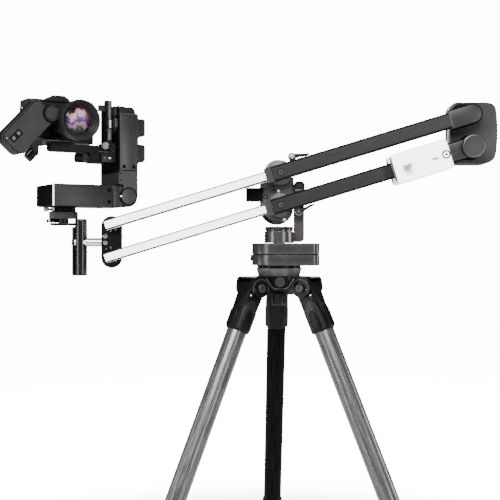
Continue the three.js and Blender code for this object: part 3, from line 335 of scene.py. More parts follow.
def plastic(name, color, roughness=0.5, grain=1500, depth=0.25, coat=0.0, shine=0.08):
    """Moulded plastic with a spark-eroded grain."""
    sockets = {"Coat Weight": coat, "Coat Roughness": 0.15, "Specular IOR Level": shine}
    surface = Surface(name, color, roughness, 0.0, sockets)
    surface.shades(surface.noise(35), 0.85, 1.15)
    surface.rough(surface.noise(140, 3), roughness - 0.06, roughness + 0.07)
    surface.bump(surface.cells(grain), depth, 0.04 * MM)
    return surface.material


def leatherette(name, color):
    """Pebbled grip covering."""
    surface = Surface(name, color, 0.62, 0.0, {"Specular IOR Level": 0.12})
    pebbles = surface.cells(760)
    surface.shades(pebbles, 1.25, 0.7, 0.1, 0.8)
    surface.rough(surface.noise(200, 3), 0.52, 0.72)
    surface.bump(pebbles, 0.6, 0.16 * MM)
    return surface.material


def rubber(name, color):
    surface = Surface(name, color, 0.72, 0.0, {"Specular IOR Level": 0.08})
    surface.shades(surface.noise(60, 6), 0.75, 1.3)
    surface.rough(surface.noise(240, 3), 0.62, 0.82)
    surface.bump(surface.noise(1800, 3), 0.3, 0.05 * MM)
    return surface.material


def carbon(name, color, coat, shine, metallic):
    """Twill weave under a clear coat, on the tube's own mapping in metres, with long silvery streaks."""
    sockets = {"Coat Weight": coat, "Coat Roughness": 0.2, "Specular IOR Level": shine}
    surface = Surface(name, color, 0.34, metallic, sockets)
    maths = surface.maths
    cell = 1.1 * MM
    woven = surface.place((1 / cell, 1 / cell, 1), "UV")
    split = surface.add("ShaderNodeSeparateXYZ", {0: woven}, "X").node.outputs
    column, row = (maths("FLOOR", split[way], 0) for way in "XY")
    warp = maths("LESS_THAN", maths("FLOORED_MODULO", maths("ADD", column, row), 4), 1.5)
    fine, long = (
        surface.noise(1, detail, surface.place(stretch, "UV"), noise_dimensions="2D")
        for detail, stretch in ((2, (900, 260, 1)), (4, (420, 22, 1)))
    )
    weave = maths("ADD", maths("MULTIPLY", warp, 0.16), maths("MULTIPLY", fine, 0.3))
    tone = maths("ADD", weave, maths("MULTIPLY", long, 0.7))
    surface.shades(tone, 0.25, 2.6, 0.42, 0.86)
    surface.rough(tone, 0.24, 0.42)
    surface.bump(warp, 0.1, 0.03 * MM)
    return surface.material


def painted_lens_reflection(name, place, radius):
    """The front element, with painted reflections in its coatings: pink and amber above, violet across the
    middle, green and black below, crossed by painted bright and dark bands of reflected light.
    """
    sockets = {"Coat Weight": 0.04, "Coat Roughness": 0.03, "Specular IOR Level": 0.05}
    surface = Surface(name, (0.1, 0.06, 0.08), 0.2, 0.0, sockets)
    back = place.inverted()
    moved = {"Location": back.translation / radius, "Rotation": back.to_euler()}
    near = surface.place([1 / radius] * 3, "Object", moved)
    split = surface.add("ShaderNodeSeparateXYZ", {0: near}, "X").node.outputs
    cloud = surface.noise(2.2, 3, near)

    def wavy(way, reach):
        """Zero to one across the glass, with a cloudy edge."""
        wobble = surface.ranged(cloud, (0.3, 0.7), (-reach, reach))
        return surface.maths("ADD", surface.ranged(split[way], (-1, 1), (0, 1)), wobble)

    black, deep_green, umber = (0.004, 0.003, 0.003), (0.012, 0.02, 0.012), (0.11, 0.08, 0.06)
    plum, indigo, ink = (0.16, 0.08, 0.12), (0.07, 0.05, 0.12), (0.006, 0.004, 0.01)
    violet, pink, amber = (0.13, 0.07, 0.2), (0.3, 0.17, 0.22), (0.24, 0.14, 0.14)
    maroon, brown = (0.04, 0.006, 0.01), (0.006, 0.002, 0.003)
    # Painted reflection colours, from the bottom of the glass to the top.
    reflection_tints = surface.ramp(wavy("Z", 0.16), [
        (0.0, black), (0.16, deep_green), (0.27, umber), (0.38, plum), (0.45, indigo), (0.49, ink),
        (0.55, violet), (0.66, pink), (0.8, amber), (0.9, maroon), (1.0, brown),
    ])
    # Painted bright and dark bands of reflection, from left to right across the glass.
    levels = {0.0: 0.06, 0.14: 0.62, 0.36: 0.85, 0.46: 0.4, 0.52: 0.85, 0.74: 0.76, 0.84: 0.1, 1.0: 0.03}
    pane_reflections = surface.ramp(wavy("X", -0.05), [(share, [level] * 3) for share, level in levels.items()])
    mix = {"Fac": 1.0, "Color1": reflection_tints, "Color2": pane_reflections}
    surface.takes({"Base Color": surface.add("ShaderNodeMixRGB", mix, blend_type="MULTIPLY")})
    return surface.material


def painted_mark(name, color):
    surface = Surface(name, color, 0.45)
    surface.shades(surface.noise(300, 2), 0.92, 1.05)
    surface.bump(surface.noise(1500, 2), 0.1, 0.02 * MM)
    return surface.material


BLACK = anodised("black_anodised", (0.0045, 0.0045, 0.005), 0.3)
DARK = anodised("dark_anodised", (0.012, 0.0115, 0.012), 0.34)
COVER_GREY = anodised("cover_anodised", (0.021, 0.0195, 0.0205), 0.36)
COLLAR_GREY = anodised("collar_anodised", (0.027, 0.0255, 0.0258), 0.34)
FRAME_GREY = anodised("frame_anodised", (0.055, 0.052, 0.052), 0.34)
BRACKET_GREY = anodised("bracket_anodised", (0.039, 0.035, 0.036), 0.34)
BASE_GREY = anodised("base_anodised", (0.028, 0.027, 0.0272), 0.25)
DISC_GREY = turned_metal("disc_turned", (0.058, 0.058, 0.06), 0.34, depth=0.05)
DRUM_GREY = turned_metal("drum_turned", (0.048, 0.046, 0.045), 0.26, depth=0.02, spread=0.05)
CAP_GREY = turned_metal("cap_turned", (0.016, 0.0155, 0.0155), 0.26, depth=0.02, spread=0.05)
LEVELLER_GREY = turned_metal("leveller_turned", (0.031, 0.0285, 0.028), 0.42, 0.5)
# Light grey for the cover's left side: a painted highlight where light falls on that side.
LIT_SIDE_GREY = anodised("cover_wall_painted_highlight", (0.34, 0.33, 0.33), 0.45, 0.2)
KNOB_GREY = anodised("knob_anodised", (0.028, 0.026, 0.0272), 0.36)
GRIP_GREY = anodised("grip_anodised", (0.12, 0.12, 0.12), 0.4, 0.3)
ARM_BRUSHED = brushed("arm_brushed", (0.023, 0.0215, 0.023), ARM_WAY, 0.38)
HEAD_BRUSHED = brushed("head_brushed", (0.017, 0.016, 0.0175), HEAD_X, 0.36)
UPRIGHT_BRUSHED = brushed("upright_brushed", (0.025, 0.0235, 0.0255), UP, 0.36)
SILVER = brushed("slide_silver", (0.93, 0.93, 0.93), ARM_WAY, 0.4, 0.1, depth=0.03, spread=0.03)
STEEL = brushed("weight_steel", (0.98, 0.98, 0.98), ARM_WAY, 0.45, 0.0, depth=0.03, spread=0.015)
# Dark brushed steel for a screw and a seam; it also paints shade along edges and in gaps.
DARK_STEEL_AND_EDGE_SHADE = brushed("dark_steel_and_edge_shade", (0.07, 0.07, 0.072), ARM_WAY, 0.36, 0.5)
BRIGHT = turned_metal("bright_turned", (0.62, 0.62, 0.63), 0.24)
ROD_STEEL = turned_metal("rod_steel", (0.36, 0.36, 0.36), 0.3)
SCREW = turned_metal("screw_steel", (0.32, 0.32, 0.32), 0.22)
DARK_SCREW = turned_metal("dark_screw", (0.045, 0.045, 0.046), 0.24)
BLACK_SCREW = anodised("black_screw", (0.008, 0.008, 0.0085), 0.24)
GLOSS_BLACK = plastic("gloss_black", (0.003, 0.003, 0.0035), 0.2, depth=0.03, coat=0.4)
# Near black with almost no sheen, for black parts and for painted shade and shadow.
DEEP_BLACK = plastic("deep_black", (0.0016, 0.0016, 0.0018), 0.55, depth=0.1, shine=0.004)
BLACK_PLASTIC = plastic("black_plastic", (0.005, 0.005, 0.0055), 0.4)
CAMERA_PLASTIC = plastic("camera_plastic", (0.004, 0.004, 0.0045), 0.42, grain=2200)
SKIN = leatherette("camera_skin", (0.0045, 0.0045, 0.005))
MODULE_GREY = plastic("module_grey", (0.0112, 0.0106, 0.011), 0.42, shine=0.05)
RUBBER = rubber("black_rubber", (0.006, 0.006, 0.0065))
CARBON = carbon("carbon_weave", (0.03, 0.03, 0.032), coat=0.15, shine=0.4, metallic=0.5)
# A darker copy of the carbon: painted shade for the rear leg, which stands in shadow.
SHADED_CARBON = carbon("shaded_carbon_weave", (0.0022, 0.0022, 0.0024), coat=0.0, shine=0.006, metallic=0.0)
# The front glass: its colours are painted reflections.
GLASS = painted_lens_reflection("front_glass", LENS, 23.6 * MM)
# White paint for marks and small screws, and for painted highlights and glints.
WHITE_MARK_AND_HIGHLIGHT = painted_mark("white_mark_and_painted_highlight", (0.82, 0.82, 0.8))
GREY_MARK = painted_mark("grey_mark", (0.3, 0.3, 0.3))
SCREEN = plastic("screen_glass", (0.003, 0.003, 0.004), 0.08, depth=0.0, coat=0.6)


# Forms, in millimetres


def curve(start, middle, end, steps):
    """Points from a start to an end, drawn towards the middle."""
    start, middle, end = map(Vector, (start, middle, end))
    shares = [k / steps for k in range(steps + 1)]
    return [tuple(start * (1 - t) ** 2 + middle * 2 * t * (1 - t) + end * t**2) for t in shares]


def eased(points, radius=EASE, steps=3, closed=False):
    """The points of a line with each inner corner rounded."""
    made = []
    count = len(points)
    for i, point in enumerate(points):
        here = Vector(point)
        before, after = Vector(points[i - 1]) - here, Vector(points[(i + 1) % count]) - here
        reach = min(radius, before.length * 0.45, after.length * 0.45)
        inner = closed or 0 < i < count - 1
        if not inner or reach <= 0 or before.angle(-after) < SHARP:
            made.append(tuple(point))
            continue
        made += curve(here + before.normalized() * reach, here, here + after.normalized() * reach, steps)
    return made


def arc(centre, radius, start, end, steps=ARC_STEPS):
    """Points on an arc, angles in degrees."""
    angles = [math.radians(start + (end - start) * k / steps) for k in range(steps + 1)]
    return [(centre[0] + radius * math.cos(angle), centre[1] + radius * math.sin(angle)) for angle in angles]


def rounded_rect(x, y, radius, steps=ARC_STEPS):
    """A rectangle between two spans, with round corners."""
    (x0, x1), (y0, y1) = x, y
    r = min(radius, (x1 - x0) / 2, (y1 - y0) / 2)
    centres = (x1 - r, y0 + r), (x1 - r, y1 - r), (x0 + r, y1 - r), (x0 + r, y0 + r)
    return [point for k, centre in enumerate(centres) for point in arc(centre, r, 90 * k - 90, 90 * k, steps)]


def inner_rect(low, high, inset, radius):
    """The front outline of a box between two corners, drawn in by an inset."""
    return rounded_rect((low.x + inset, high.x - inset), (low.z + inset, high.z - inset), radius)


def band(centre, radius, width, start, end, steps=24):
    """The outline of a part of a ring, angles in degrees."""
    return arc(centre, radius + width, start, end, steps) + arc(centre, radius, end, start, steps)


def notched(outline, centre, radius):
    """An outline that runs round the near side of a circle that cuts into its corner."""
    count = len(outline)
    inside = [math.dist(point, centre) < radius for point in outline]
    start = next(i for i in range(count) if inside[i - 1] and not inside[i])
    kept = [outline[(start + i) % count] for i in range(count) if not inside[(start + i) % count]]
    middle = math.atan2(-centre[1], -centre[0])
    ends = []
    for near, far in ((outline[(start + len(kept)) % count], kept[-1]), (outline[start - 1], kept[0])):
        hits = intersect_line_sphere_2d(Vector(near), Vector(far), Vector(centre), radius)
        x, y = next(hit for hit in hits if hit) - Vector(centre)
        ends.append(math.degrees(middle + math.remainder(math.atan2(y, x) - middle, math.tau)))
    return kept + arc(centre, radius, *ends, 28)


def clipped(outline, axis, bound, way):
    """The part of an outline on one side of a line across that axis."""
    kept = []
    for here, there in zip(outline, outline[1:] + outline[:1]):
        inside, next_inside = way * (here[axis] - bound) > 0, way * (there[axis] - bound) > 0
        if inside:
            kept.append(here)
        if inside != next_inside:
            share = (bound - here[axis]) / (there[axis] - here[axis])
            kept.append(tuple(h + share * (t - h) for h, t in zip(here, there)))
    return kept


def opened(outline, columns, row):
    """The parts of an outline around a row of square openings."""
    low, high = row
    parts = [clipped(outline, 1, high, 1), clipped(outline, 1, low, -1)]
    belt = clipped(clipped(outline, 1, high, -1), 1, low, 1)
    for left, right in columns:
        parts.append(clipped(belt, 0, left, -1))
        belt = clipped(belt, 0, right, 1)
    return parts + [belt]


def strip(points, width):
    """The outline of a line of one width along some points."""
    sides = ([], [])
    for i, point in enumerate(points):
        before, after = points[max(i - 1, 0)], points[min(i + 1, len(points) - 1)]
        way = (Vector(after) - Vector(before)).normalized() * width / 2
        for side, sign in zip(sides, (1, -1)):
            side.append((point[0] - sign * way.y, point[1] + sign * way.x))
    return sides[0] + sides[1][::-1]


def hexagon(across):
    """The radius of a hexagon at an angle."""
    third = math.radians(60)
    return lambda angle: across / 2 / math.cos((angle % third) - third / 2)


def fluted(radius, depth, count, power=1.0):
    """The radius of a knob with flutes at an angle."""
    return lambda angle: radius - depth * abs(math.sin(angle * count / 2)) ** power


def reordered(*rows):
    """The matrix that takes each new coordinate from the old one of that number."""
    return Matrix([[float(row == column) for column in range(4)] for row in (*rows, 3)])


MEAN_STEPS = 12
TO_AXIS = {"z": reordered(0, 1, 2), "x": reordered(2, 0, 1), "y": reordered(1, 2, 0)}
PLATE_AXIS = {**TO_AXIS, "y": reordered(0, 2, 1)}


class Form:
    """One mesh, made of turned, extruded and boxed forms in a local frame."""

    def __init__(self, place):
        self.place = place
        self.mesh = bmesh.new()
        self.mesh.loops.layers.uv.new("UVMap")
        self.materials = []

    def take(self, part, matrix, material):
        """Adds the faces of a part, which it moves by a matrix and frees."""
        if material not in self.materials:
            self.materials.append(material)
        bmesh.ops.transform(part, matrix=matrix, verts=part.verts)
        bmesh.ops.recalc_face_normals(part, faces=part.faces)
        for face in part.faces:
            face.material_index = self.materials.index(material)
            face.smooth = True
        holder = bpy.data.meshes.new("part")
        part.to_mesh(holder)
        part.free()
        self.mesh.from_mesh(holder)
        bpy.data.meshes.remove(holder)
        return self

    def turned(self, points, material, axis="z", at_point=(0, 0, 0), steps=STEPS, ease=EASE):
        """A turned form from (radius, place) points. A radius can be a function of the angle."""
        if ease and not any(callable(radius) for radius, _ in points):
            points = eased(points, ease)
        part = bmesh.new()
        uv = part.loops.layers.uv.new("UVMap")
        rings, length, before = [], 0, None
        for radius, along in points:
            size = radius if callable(radius) else lambda angle, plain=radius: plain
            mean = sum(size(math.tau * k / MEAN_STEPS) for k in range(MEAN_STEPS)) / MEAN_STEPS
            length += math.dist(before, (mean, along)) * MM if before else 0
            before = (mean, along)
            angles = [math.tau * k / steps for k in range(1 if mean <= 0 else steps)]
            corners = [(size(a) * math.cos(a) * MM, size(a) * math.sin(a) * MM, along * MM) for a in angles]
            rings.append(([part.verts.new(corner) for corner in corners], length))
        widest = max(vertex.co.xy.length for vertex in part.verts)
        for (low, start), (high, end) in zip(rings, rings[1:]):
            for k in range(steps if max(len(low), len(high)) > 1 else 0):
                corners = [(low, k, start), (low, k + 1, start), (high, k + 1, end), (high, k, end)]
                if len(low) == 1 or len(high) == 1:
                    corners.pop(1 if len(low) == 1 else 2)
                face = part.faces.new([ring[j % len(ring)] for ring, j, _ in corners])
                for loop, (_, j, level) in zip(face.loops, corners):
                    loop[uv].uv = (math.tau * j / steps * widest, level)
        return self.take(part, self.place @ millimetres(*at_point) @ TO_AXIS[axis], material)

    def disc(self, radius, span, material, at_point=(0, 0, 0), steps=SMALL_STEPS, ease=EASE):
        """A plain disc across y."""
        start, end = span
        profile = [(0, start), (radius, start), (radius, end), (0, end)]
        return self.turned(profile, material, "y", at_point, steps, ease)

    def plate(self, outline, span, material, axis="y", ease=EASE, segments=2):
        """An outline of two coordinates, extruded along the third axis."""
        part = bmesh.new()
        flat = [(a * MM, b * MM) for a, b in outline]
        base, top = ([part.verts.new((a, b, level * MM)) for a, b in flat] for level in sorted(span))
        part.faces.new(base[::-1])
        part.faces.new(top)
        for corners in zip(base, base[1:] + base[:1], top[1:] + top[:1], top):
            part.faces.new(corners)
        bmesh.ops.recalc_face_normals(part, faces=part.faces)
        if ease:
            sharp = [edge for edge in part.edges if edge.calc_face_angle(0) > SHARP]
            settings = {"profile": 0.5, "affect": "EDGES", "clamp_overlap": True}
            bmesh.ops.bevel(part, geom=sharp, offset=ease * MM, segments=segments, **settings)
        return self.take(part, self.place @ PLATE_AXIS[axis], material)

    def box(self, x, y, z, material, ease=EASE, segments=2):
        outline = [(x[0], y[0]), (x[1], y[0]), (x[1], y[1]), (x[0], y[1])]
        return self.plate(outline, z, material, "z", ease, segments)

    def screw(self, point, way, radius, height, material, socket=0.55):
        """A cap screw with a hexagon socket, its head standing out along a way."""
        hole = hexagon(radius * 2 * socket)
        chamfer = radius * 0.14
        floor = height * 0.35
        profile = [(0, 0), (radius, 0), (radius, height - chamfer), (radius - chamfer, height)]
        profile += [(hole, height), (hole, floor), (0, floor)]
        keep = self.place
        self.place = keep @ millimetres(*point) @ UP.rotation_difference(Vector(way)).to_matrix().to_4x4()
        self.turned(profile, material, steps=SMALL_STEPS, ease=0)
        self.place = keep
        return self

    def front_screw(self, point, *sizes, **settings):
        """A screw whose head points to the front."""
        return self.screw(point, (0, -1, 0), *sizes, **settings)

    def piece(self, name, body, slot, *nodes):
        """The finished piece, in the place of the CAD nodes named last."""
        mesh = bpy.data.meshes.new(name)
        self.mesh.to_mesh(mesh)
        self.mesh.free()
        for material in self.materials:
            mesh.materials.append(material)
        mesh.set_sharp_from_angle(angle=SHARP)
        made = shown(name, mesh)
        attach(made, body)
        if nodes:
            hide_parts(*nodes)


def dress(node, material, ease=EASE, segments=2):
    """A CAD node that stays: its material, and its edges eased."""
    kept = frame["nodes"][node]
    kept.data.materials.clear()
    kept.data.materials.append(material)
    bevel = kept.modifiers.new("eased_edges", "BEVEL")
    bevel.width = ease * MM
    bevel.segments = segments
    bevel.limit_method = "ANGLE"
    bevel.angle_limit = SHARP
    bevel.harden_normals = True


make_world()
make_camera()
make_lights()
make_floor()


# Tripod

SIDES = ("left", "right", "rear")
LEG_WALL = 2.0
STAGE_RADIUS = 14.3
LOCK_BORE = 14.6
LOCK_LIP = 1.2
FOOT_HEIGHT = 37
FOOT_STEPS = 48


def make_leg(side):
    place = leg_place(side)
    low, high = extent(f"leg_tube_{side}", place)
    radius, inner = high.x, high.x - LEG_WALL
    tube = Form(place)
    # The rear leg takes the darker copy of the carbon: painted shade.
    tube.turned(
        [(radius, low.z), (radius, high.z), (inner, high.z), (inner, low.z), (radius, low.z)],
        SHADED_CARBON if side == "rear" else CARBON,
    )
    tube.piece(f"leg_tube_skin_{side}", f"leg_{side}", "carbon_tube", f"leg_tube_{side}")

    low, high = extent(f"leg_lock_{side}", place)
    rim, edge = high.x - LOCK_LIP, high.x - 2 * LOCK_LIP
    grip = fluted(high.x, 0.7, 24, 2)
    lock = Form(place)
    lock.turned(
        [
            (LOCK_BORE, low.z), (edge, low.z), (rim, low.z + LOCK_LIP), (rim, low.z + 4 * LOCK_LIP),
            (grip, low.z + 5 * LOCK_LIP), (grip, high.z - 5 * LOCK_LIP), (rim, high.z - 4 * LOCK_LIP),
            (rim, high.z - LOCK_LIP), (edge, high.z), (radius + SEAT, high.z),
        ],
        RUBBER, steps=144,
    )
    lock.piece(f"leg_lock_grip_{side}", f"lock_{side}", "black_plastic", f"leg_lock_{side}")

    low, high = extent(f"lower_leg_{side}", place)
    foot_top = low.z + FOOT_HEIGHT
    inner = STAGE_RADIUS - LEG_WALL
    stage = Form(place)
    profile = [(STAGE_RADIUS, foot_top), (STAGE_RADIUS, high.z), (inner, high.z), (inner, foot_top)]
    stage.turned(profile, CARBON)
    make_foot(stage, place, foot_top)
    stage.piece(f"lower_leg_skin_{side}", f"stage_{side}", "carbon_tube", f"lower_leg_{side}")


def make_foot(form, place, foot_top):
    """A rubber foot that ends in a flat sole on the floor."""
    up = (place.inverted().to_3x3() @ UP).normalized()
    radius, sole = 15, 13.5
    middle = (sole - place.translation.z / MM) / up.z
    quarter = [math.radians(90) * k / 12 for k in range(1, 13)]
    levels = [(radius, foot_top), (radius, middle)]
    levels += [(radius * math.cos(angle), middle - radius * math.sin(angle)) for angle in quarter]
    turns = [math.tau * k / FOOT_STEPS for k in range(FOOT_STEPS)]
    around = [(math.cos(turn) * MM, math.sin(turn) * MM) for turn in turns]
    part = bmesh.new()
    rings = [[part.verts.new((r * x, r * y, z * MM)) for x, y in around] for r, z in levels]
    for low, high in zip(rings, rings[1:]):
        for corners in zip(low, low[1:] + low[:1], high[1:] + high[:1], high):
            part.faces.new(corners)
    part.faces.new(rings[0][::-1])
    part.faces.new(rings[-1])
    ground = (Vector((0, 0, middle)) - up * sole) * MM
    geometry = part.verts[:] + part.edges[:] + part.faces[:]
    cut = bmesh.ops.bisect_plane(part, geom=geometry, plane_co=ground, plane_no=-up, clear_outer=True)
    edges = [item for item in cut["geom_cut"] if isinstance(item, bmesh.types.BMEdge)]
    bmesh.ops.holes_fill(part, edges=edges)
    form.take(part, place, RUBBER)


def shield(half, bottom, top):
    """The outline of a rib that ends in a point."""
    low, high = top - 1.6 * half, top - 0.75 * half
    near = 0.72 * half
    return [(-half, bottom), (half, bottom), (half, low), (near, high), (0, top), (-near, high), (-half, low)]


def make_casting(side):
    node = f"leg_casting_{side}"
    dress(node, BLACK, 1.0, 3)
    place = leg_place(side)
    low, high = extent(node, place)
    detail = Form(place)
    foot = low.z + 1.5
    for way in (-1, 1):
        for half, top, proud, material in ((14.5, -21, 0.4, DARK), (9.5, -41, 1.3, BLACK)):
            rib = eased(shield(half, foot, top), 7, 5, closed=True)
            detail.plate(rib, (way * 8, way * (high.y + proud)), material, ease=1.1, segments=3)
        detail.screw((9.4, way * (high.y - EASE), -17.1), (0, way, 0), 1.2, 1.5, WHITE_MARK_AND_HIGHLIGHT, socket=0.3)
    leaf = eased([(-11, foot), (11, foot), (11, -46), (0, -34), (-11, -46)], 7, 5, closed=True)
    detail.plate(leaf, (8, high.x + 0.5), BLACK, "x", ease=1.1, segments=3)
    column = [(-8, foot), (8, foot), (8, -36), (4, -30), (-4, -30), (-8, -36)]
    detail.plate(column, (low.x - 0.6, 0), BLACK, "x", ease=0.4, segments=3)
    detail.piece(f"leg_casting_ribs_{side}", f"leg_{side}", "black_metal")


def make_spider():
    dress("tripod_spider", BLACK, 0.9)
    low, high = extent("tripod_spider", RIG)
    detail = Form(RIG)
    ear, bolt = 29.5, 32.2
    for side in SIDES:
        leg = leg_place(side)
        along = (leg.to_3x3() @ Vector((0, 1, 0))).normalized()
        detail.place = axes(leg.translation, along.cross(UP), along, UP)
        for way in (-1, 1):
            out = (0, way, 0)
            detail.screw((0, way * bolt, 0), out, 7.4, 2.6, COVER_GREY, socket=0.4)
            # A raised rim round each hinge bolt, in a lighter grey that also paints the highlight on the
            # ear's edge.
            collar = band((0, 0), 14.9, 1.7, -25, 205)
            detail.plate(collar, (way * (ear - 1.5), way * (ear + 0.7)), KNOB_GREY, ease=0.4)
            detail.screw((12, way * (ear - 0.4), -1.5), out, 1.7, 1.2, DARK_SCREW)
    detail.place = RIG
    dip = [(-24, 559), (-19, 552.5), (-15, 545.5), (-10, 541.6)]
    dip += [(11, 541.6), (16, 545.5), (20, 552.5), (25, 559)]
    detail.plate(strip(dip, 1.7), (low.y + 6, low.y + 10), KNOB_GREY, ease=0.4)
    grip = fluted(9, 0.5, 30)
    detail.turned(
        [(0, 8), (8.2, 8), (grip, 6.8), (grip, 0.8), (8.2, 0), (4.4, 0), (4, 1.0), (0, 1.2)],
        COVER_GREY, "y", (0, low.y - 4, (low.z + high.z) / 2 + 9.8), steps=120,
    )
    detail.piece("tripod_spider_fittings", "tripod", "black_metal")


for side_name in SIDES:
    make_leg(side_name)
    make_casting(side_name)
make_spider()


# Leveller, pan base and drum


def make_leveller():
    top = (0, 0, extent("bowl_leveller", RIG)[1].z)
    form = Form(RIG)
    form.turned(
        [
            (0, -48), (5, -48), (5, -46.4), (19.7, -46.4), (35.9, -19.6), (38, -19.3),
            (38.2, -16), (41.2, -6.4), (41.4, -5), (37, -5),
        ],
        LEVELLER_GREY, at_point=top,
    )
    form.turned(
        [
            (36, -5.2), (39.4, -5.2), (39.6, -4.6), (39.6, -3.6), (39, -3.2), (39, -2.2),
            (39.8, -1.8), (39.8, -0.4), (39.4, 0), (0, 0),
        ],
        BLACK_SCREW, at_point=top,
    )
    form.piece("bowl_leveller_turned", "tripod", "warm_grey_metal", "bowl_leveller")
    low, high = extent("bowl_clamp_knob", RIG)
    grip = fluted(14, 1.4, 10, 1.4)
    knob = Form(RIG)
    knob.turned(
        [
            (0, low.z), (10, low.z), (12.4, low.z + 1), (grip, low.z + 3), (grip, high.z - 4),
            (11, high.z - 1.5), (9, high.z), (5.3, high.z),
        ],
        BLACK_PLASTIC, steps=120,
    )
    knob.piece("bowl_clamp_grip", "bowl_clamp", "black_plastic", "bowl_clamp_knob")


def base_outline(inset=0.0):
    """The pan base from above: round on the left, with round corners on the right."""
    high = extent("pan_base_lower_shell", RIG)[1]
    radius, reach, corner = high.y - inset, high.x - inset, 14 - inset
    outline = arc((0, 0), radius, 90, 270, 48)
    outline += arc((reach - corner, corner - radius), corner, -90, 0, 10)
    return outline + arc((reach - corner, radius - corner), corner, 0, 90, 10)


def make_base():
    bottom, seam = (corner.z for corner in extent("pan_base_lower_shell", RIG))
    lower = Form(RIG)
    lower.plate(base_outline(), (bottom, seam - 0.4), BASE_GREY, "z", ease=0.8, segments=3)
    for inset, start, end in ((0.6, 2, 0), (-0.03, 1.0, 0.3)):
        lower.plate(base_outline(inset), (seam - start, seam - end), DEEP_BLACK, "z", ease=0)
    lower.piece("pan_base_lower_skin", "tripod", "dark_metal", "pan_base_lower_shell")
    upper = Form(RIG)
    span = [corner.z for corner in extent("pan_base_upper_shell", RIG)]
    upper.plate(base_outline(), span, BASE_GREY, "z", ease=0.8, segments=3)
    upper.piece("pan_base_upper_skin", "tripod", "dark_metal", "pan_base_upper_shell")
    low, high = extent("power_button", RIG)
    radius = (high.z - low.z) / 2
    press = Form(RIG)
    press.turned(
        [
            (0, high.x), (radius, high.x), (radius, low.x + 0.6), (radius - 0.6, low.x),
            (radius * 0.62, low.x), (radius * 0.5, low.x + 0.4), (0, low.x + 0.5),
        ],
        BLACK_PLASTIC, "x", (0, 0, (high.z + low.z) / 2), steps=48,
    )
    press.piece("power_button_cap", "power_button", "black_plastic", "power_button")


def make_drum():
    top = (0, 0, extent("pan_drum", RIG)[1].z)
    form = Form(RIG)
    form.turned(
        [
            (0, -66), (10, -66), (10, -29.6), (27.6, -29.6), (27.6, -28), (26.4, -28),
            (26.4, -9), (24, -9), (24, -6.8),
        ],
        DRUM_GREY, at_point=top,
    )
    form.turned(
        [
            (24, -6.8), (25.2, -6.8), (25.8, -6), (25.8, -4.4), (25.2, -4), (25.2, -3.4),
            (25.8, -3), (25.8, -1.2), (24.6, 0), (23.4, 0), (22.8, -0.6), (0, -0.6),
        ],
        CAP_GREY, at_point=top,
    )
    form.piece("pan_drum_turned", "pan", "warm_grey_metal", "pan_drum")


make_leveller()
make_base()
make_drum()


# Fulcrum


def make_bracket():
    dress("support_bracket", BRACKET_GREY, 1.0, 3)
    low, high = extent("support_bracket", RIG)
    detail = Form(RIG)
    for height in (634, 702):
        detail.screw(((high.x + low.x) / 2 + 9, high.y - EASE, height), (0, 1, 0), 3.2, 2, SCREW)
    detail.piece("support_bracket_fittings", "pan", "dark_metal")


def make_fulcrum():
    low, high = extent("fulcrum_frame", RIG)
    pivots = spot("jib_tilt", RIG), spot("lower_arm_tilt", RIG)
    top = pivots[0].z
    half, head, front = -low.x - 0.9, 24.7, 8
    centre = (low.x + half - 3.4, low.z + half - 2)
    left = (centre[0] - half, top - 16)
    outline = arc(centre, half, 180, 360, 32) + arc((centre[0] + 1.9, top), head, 0, 180, 32) + [left]
    form = Form(RIG)
    form.plate(outline, (front, high.y), FRAME_GREY, ease=1.2, segments=3)
    form.box((centre[0], high.x), (front - 0.06, high.y), (centre[1], top - 8), FRAME_GREY, ease=0.8)
    for pivot in pivots:
        middle = (pivot.x, 0, pivot.z)
        disc = [(0, -4.2), (6, -4.2), (6, -1.2), (15, -1.2), (15, -0.6), (22.2, -0.6), (22.4, 0)]
        form.turned(disc, DISC_GREY, "y", middle)
        form.turned(
            [
                (22.4, 0.2), (23, 0.2), (23.2, 0.6), (23.2, 3.2), (22.7, 3.4),
                (22.7, 4.2), (23.2, 4.4), (23.2, front + 1), (0, front + 1),
            ],
            BLACK, "y", middle,
        )
    # A black crescent along the lower left of the frame: painted shade, darkening the frame towards its left
    # edge.
    groove = arc(centre, half - 0.9, 186, 252, 20) + arc(centre, half - 6, 252, 186, 20)
    form.plate(groove, (front - 0.4, front + 1), BLACK, ease=0.3)
    face = front - EASE
    form.front_screw((-0.9, face, 717.4), 2.3, 1.6, WHITE_MARK_AND_HIGHLIGHT, socket=0.4)
    form.front_screw((-10.6, face, 725.4), 2.6, 1.6, DARK_SCREW, socket=0.6)
    form.front_screw((-9.6, face, 719.4), 1.9, 1.4, BLACK_SCREW, socket=0.6)
    ring = [(2.6, 0), (3.4, -0.5), (4.6, -0.5), (4.8, 0.5), (0, 0.6), (0, 0.1), (2.6, 0)]
    form.turned(ring, BLACK_SCREW, "y", (-24.3, front, 706.8), SMALL_STEPS, 0)
    mark = [(0, -0.7), (2.6, -0.7), (3.0, -0.2), (3.0, 1), (0, 1)]
    form.turned(mark, WHITE_MARK_AND_HIGHLIGHT, "y", (10.4, front, 665), SMALL_STEPS, 0)
    form.piece("fulcrum_frame_skin", "pan", "dark_metal", "fulcrum_frame")


def make_modules():
    dress("fulcrum_motor_box", DEEP_BLACK, 3, 4)
    dress("control_module", BLACK_PLASTIC, 1.2, 3)
    low, high = extent("control_module", RIG)
    face = Form(RIG)
    panel = rounded_rect((low.x + 3, high.x - 3), (low.z + 3, high.z - 4), 3)
    face.plate(panel, (low.y - 0.3, low.y + 1), BLACK_PLASTIC, ease=0.25)
    face.box((low.x + 1.5, high.x - 1), (low.y - 0.5, low.y + 1), (715.6, 720.2), KNOB_GREY, ease=0.3)
    face.piece("control_module_face", "pan", "black_plastic")


make_bracket()
make_fulcrum()
make_modules()


# Arms

ARM_HALF = 13.7


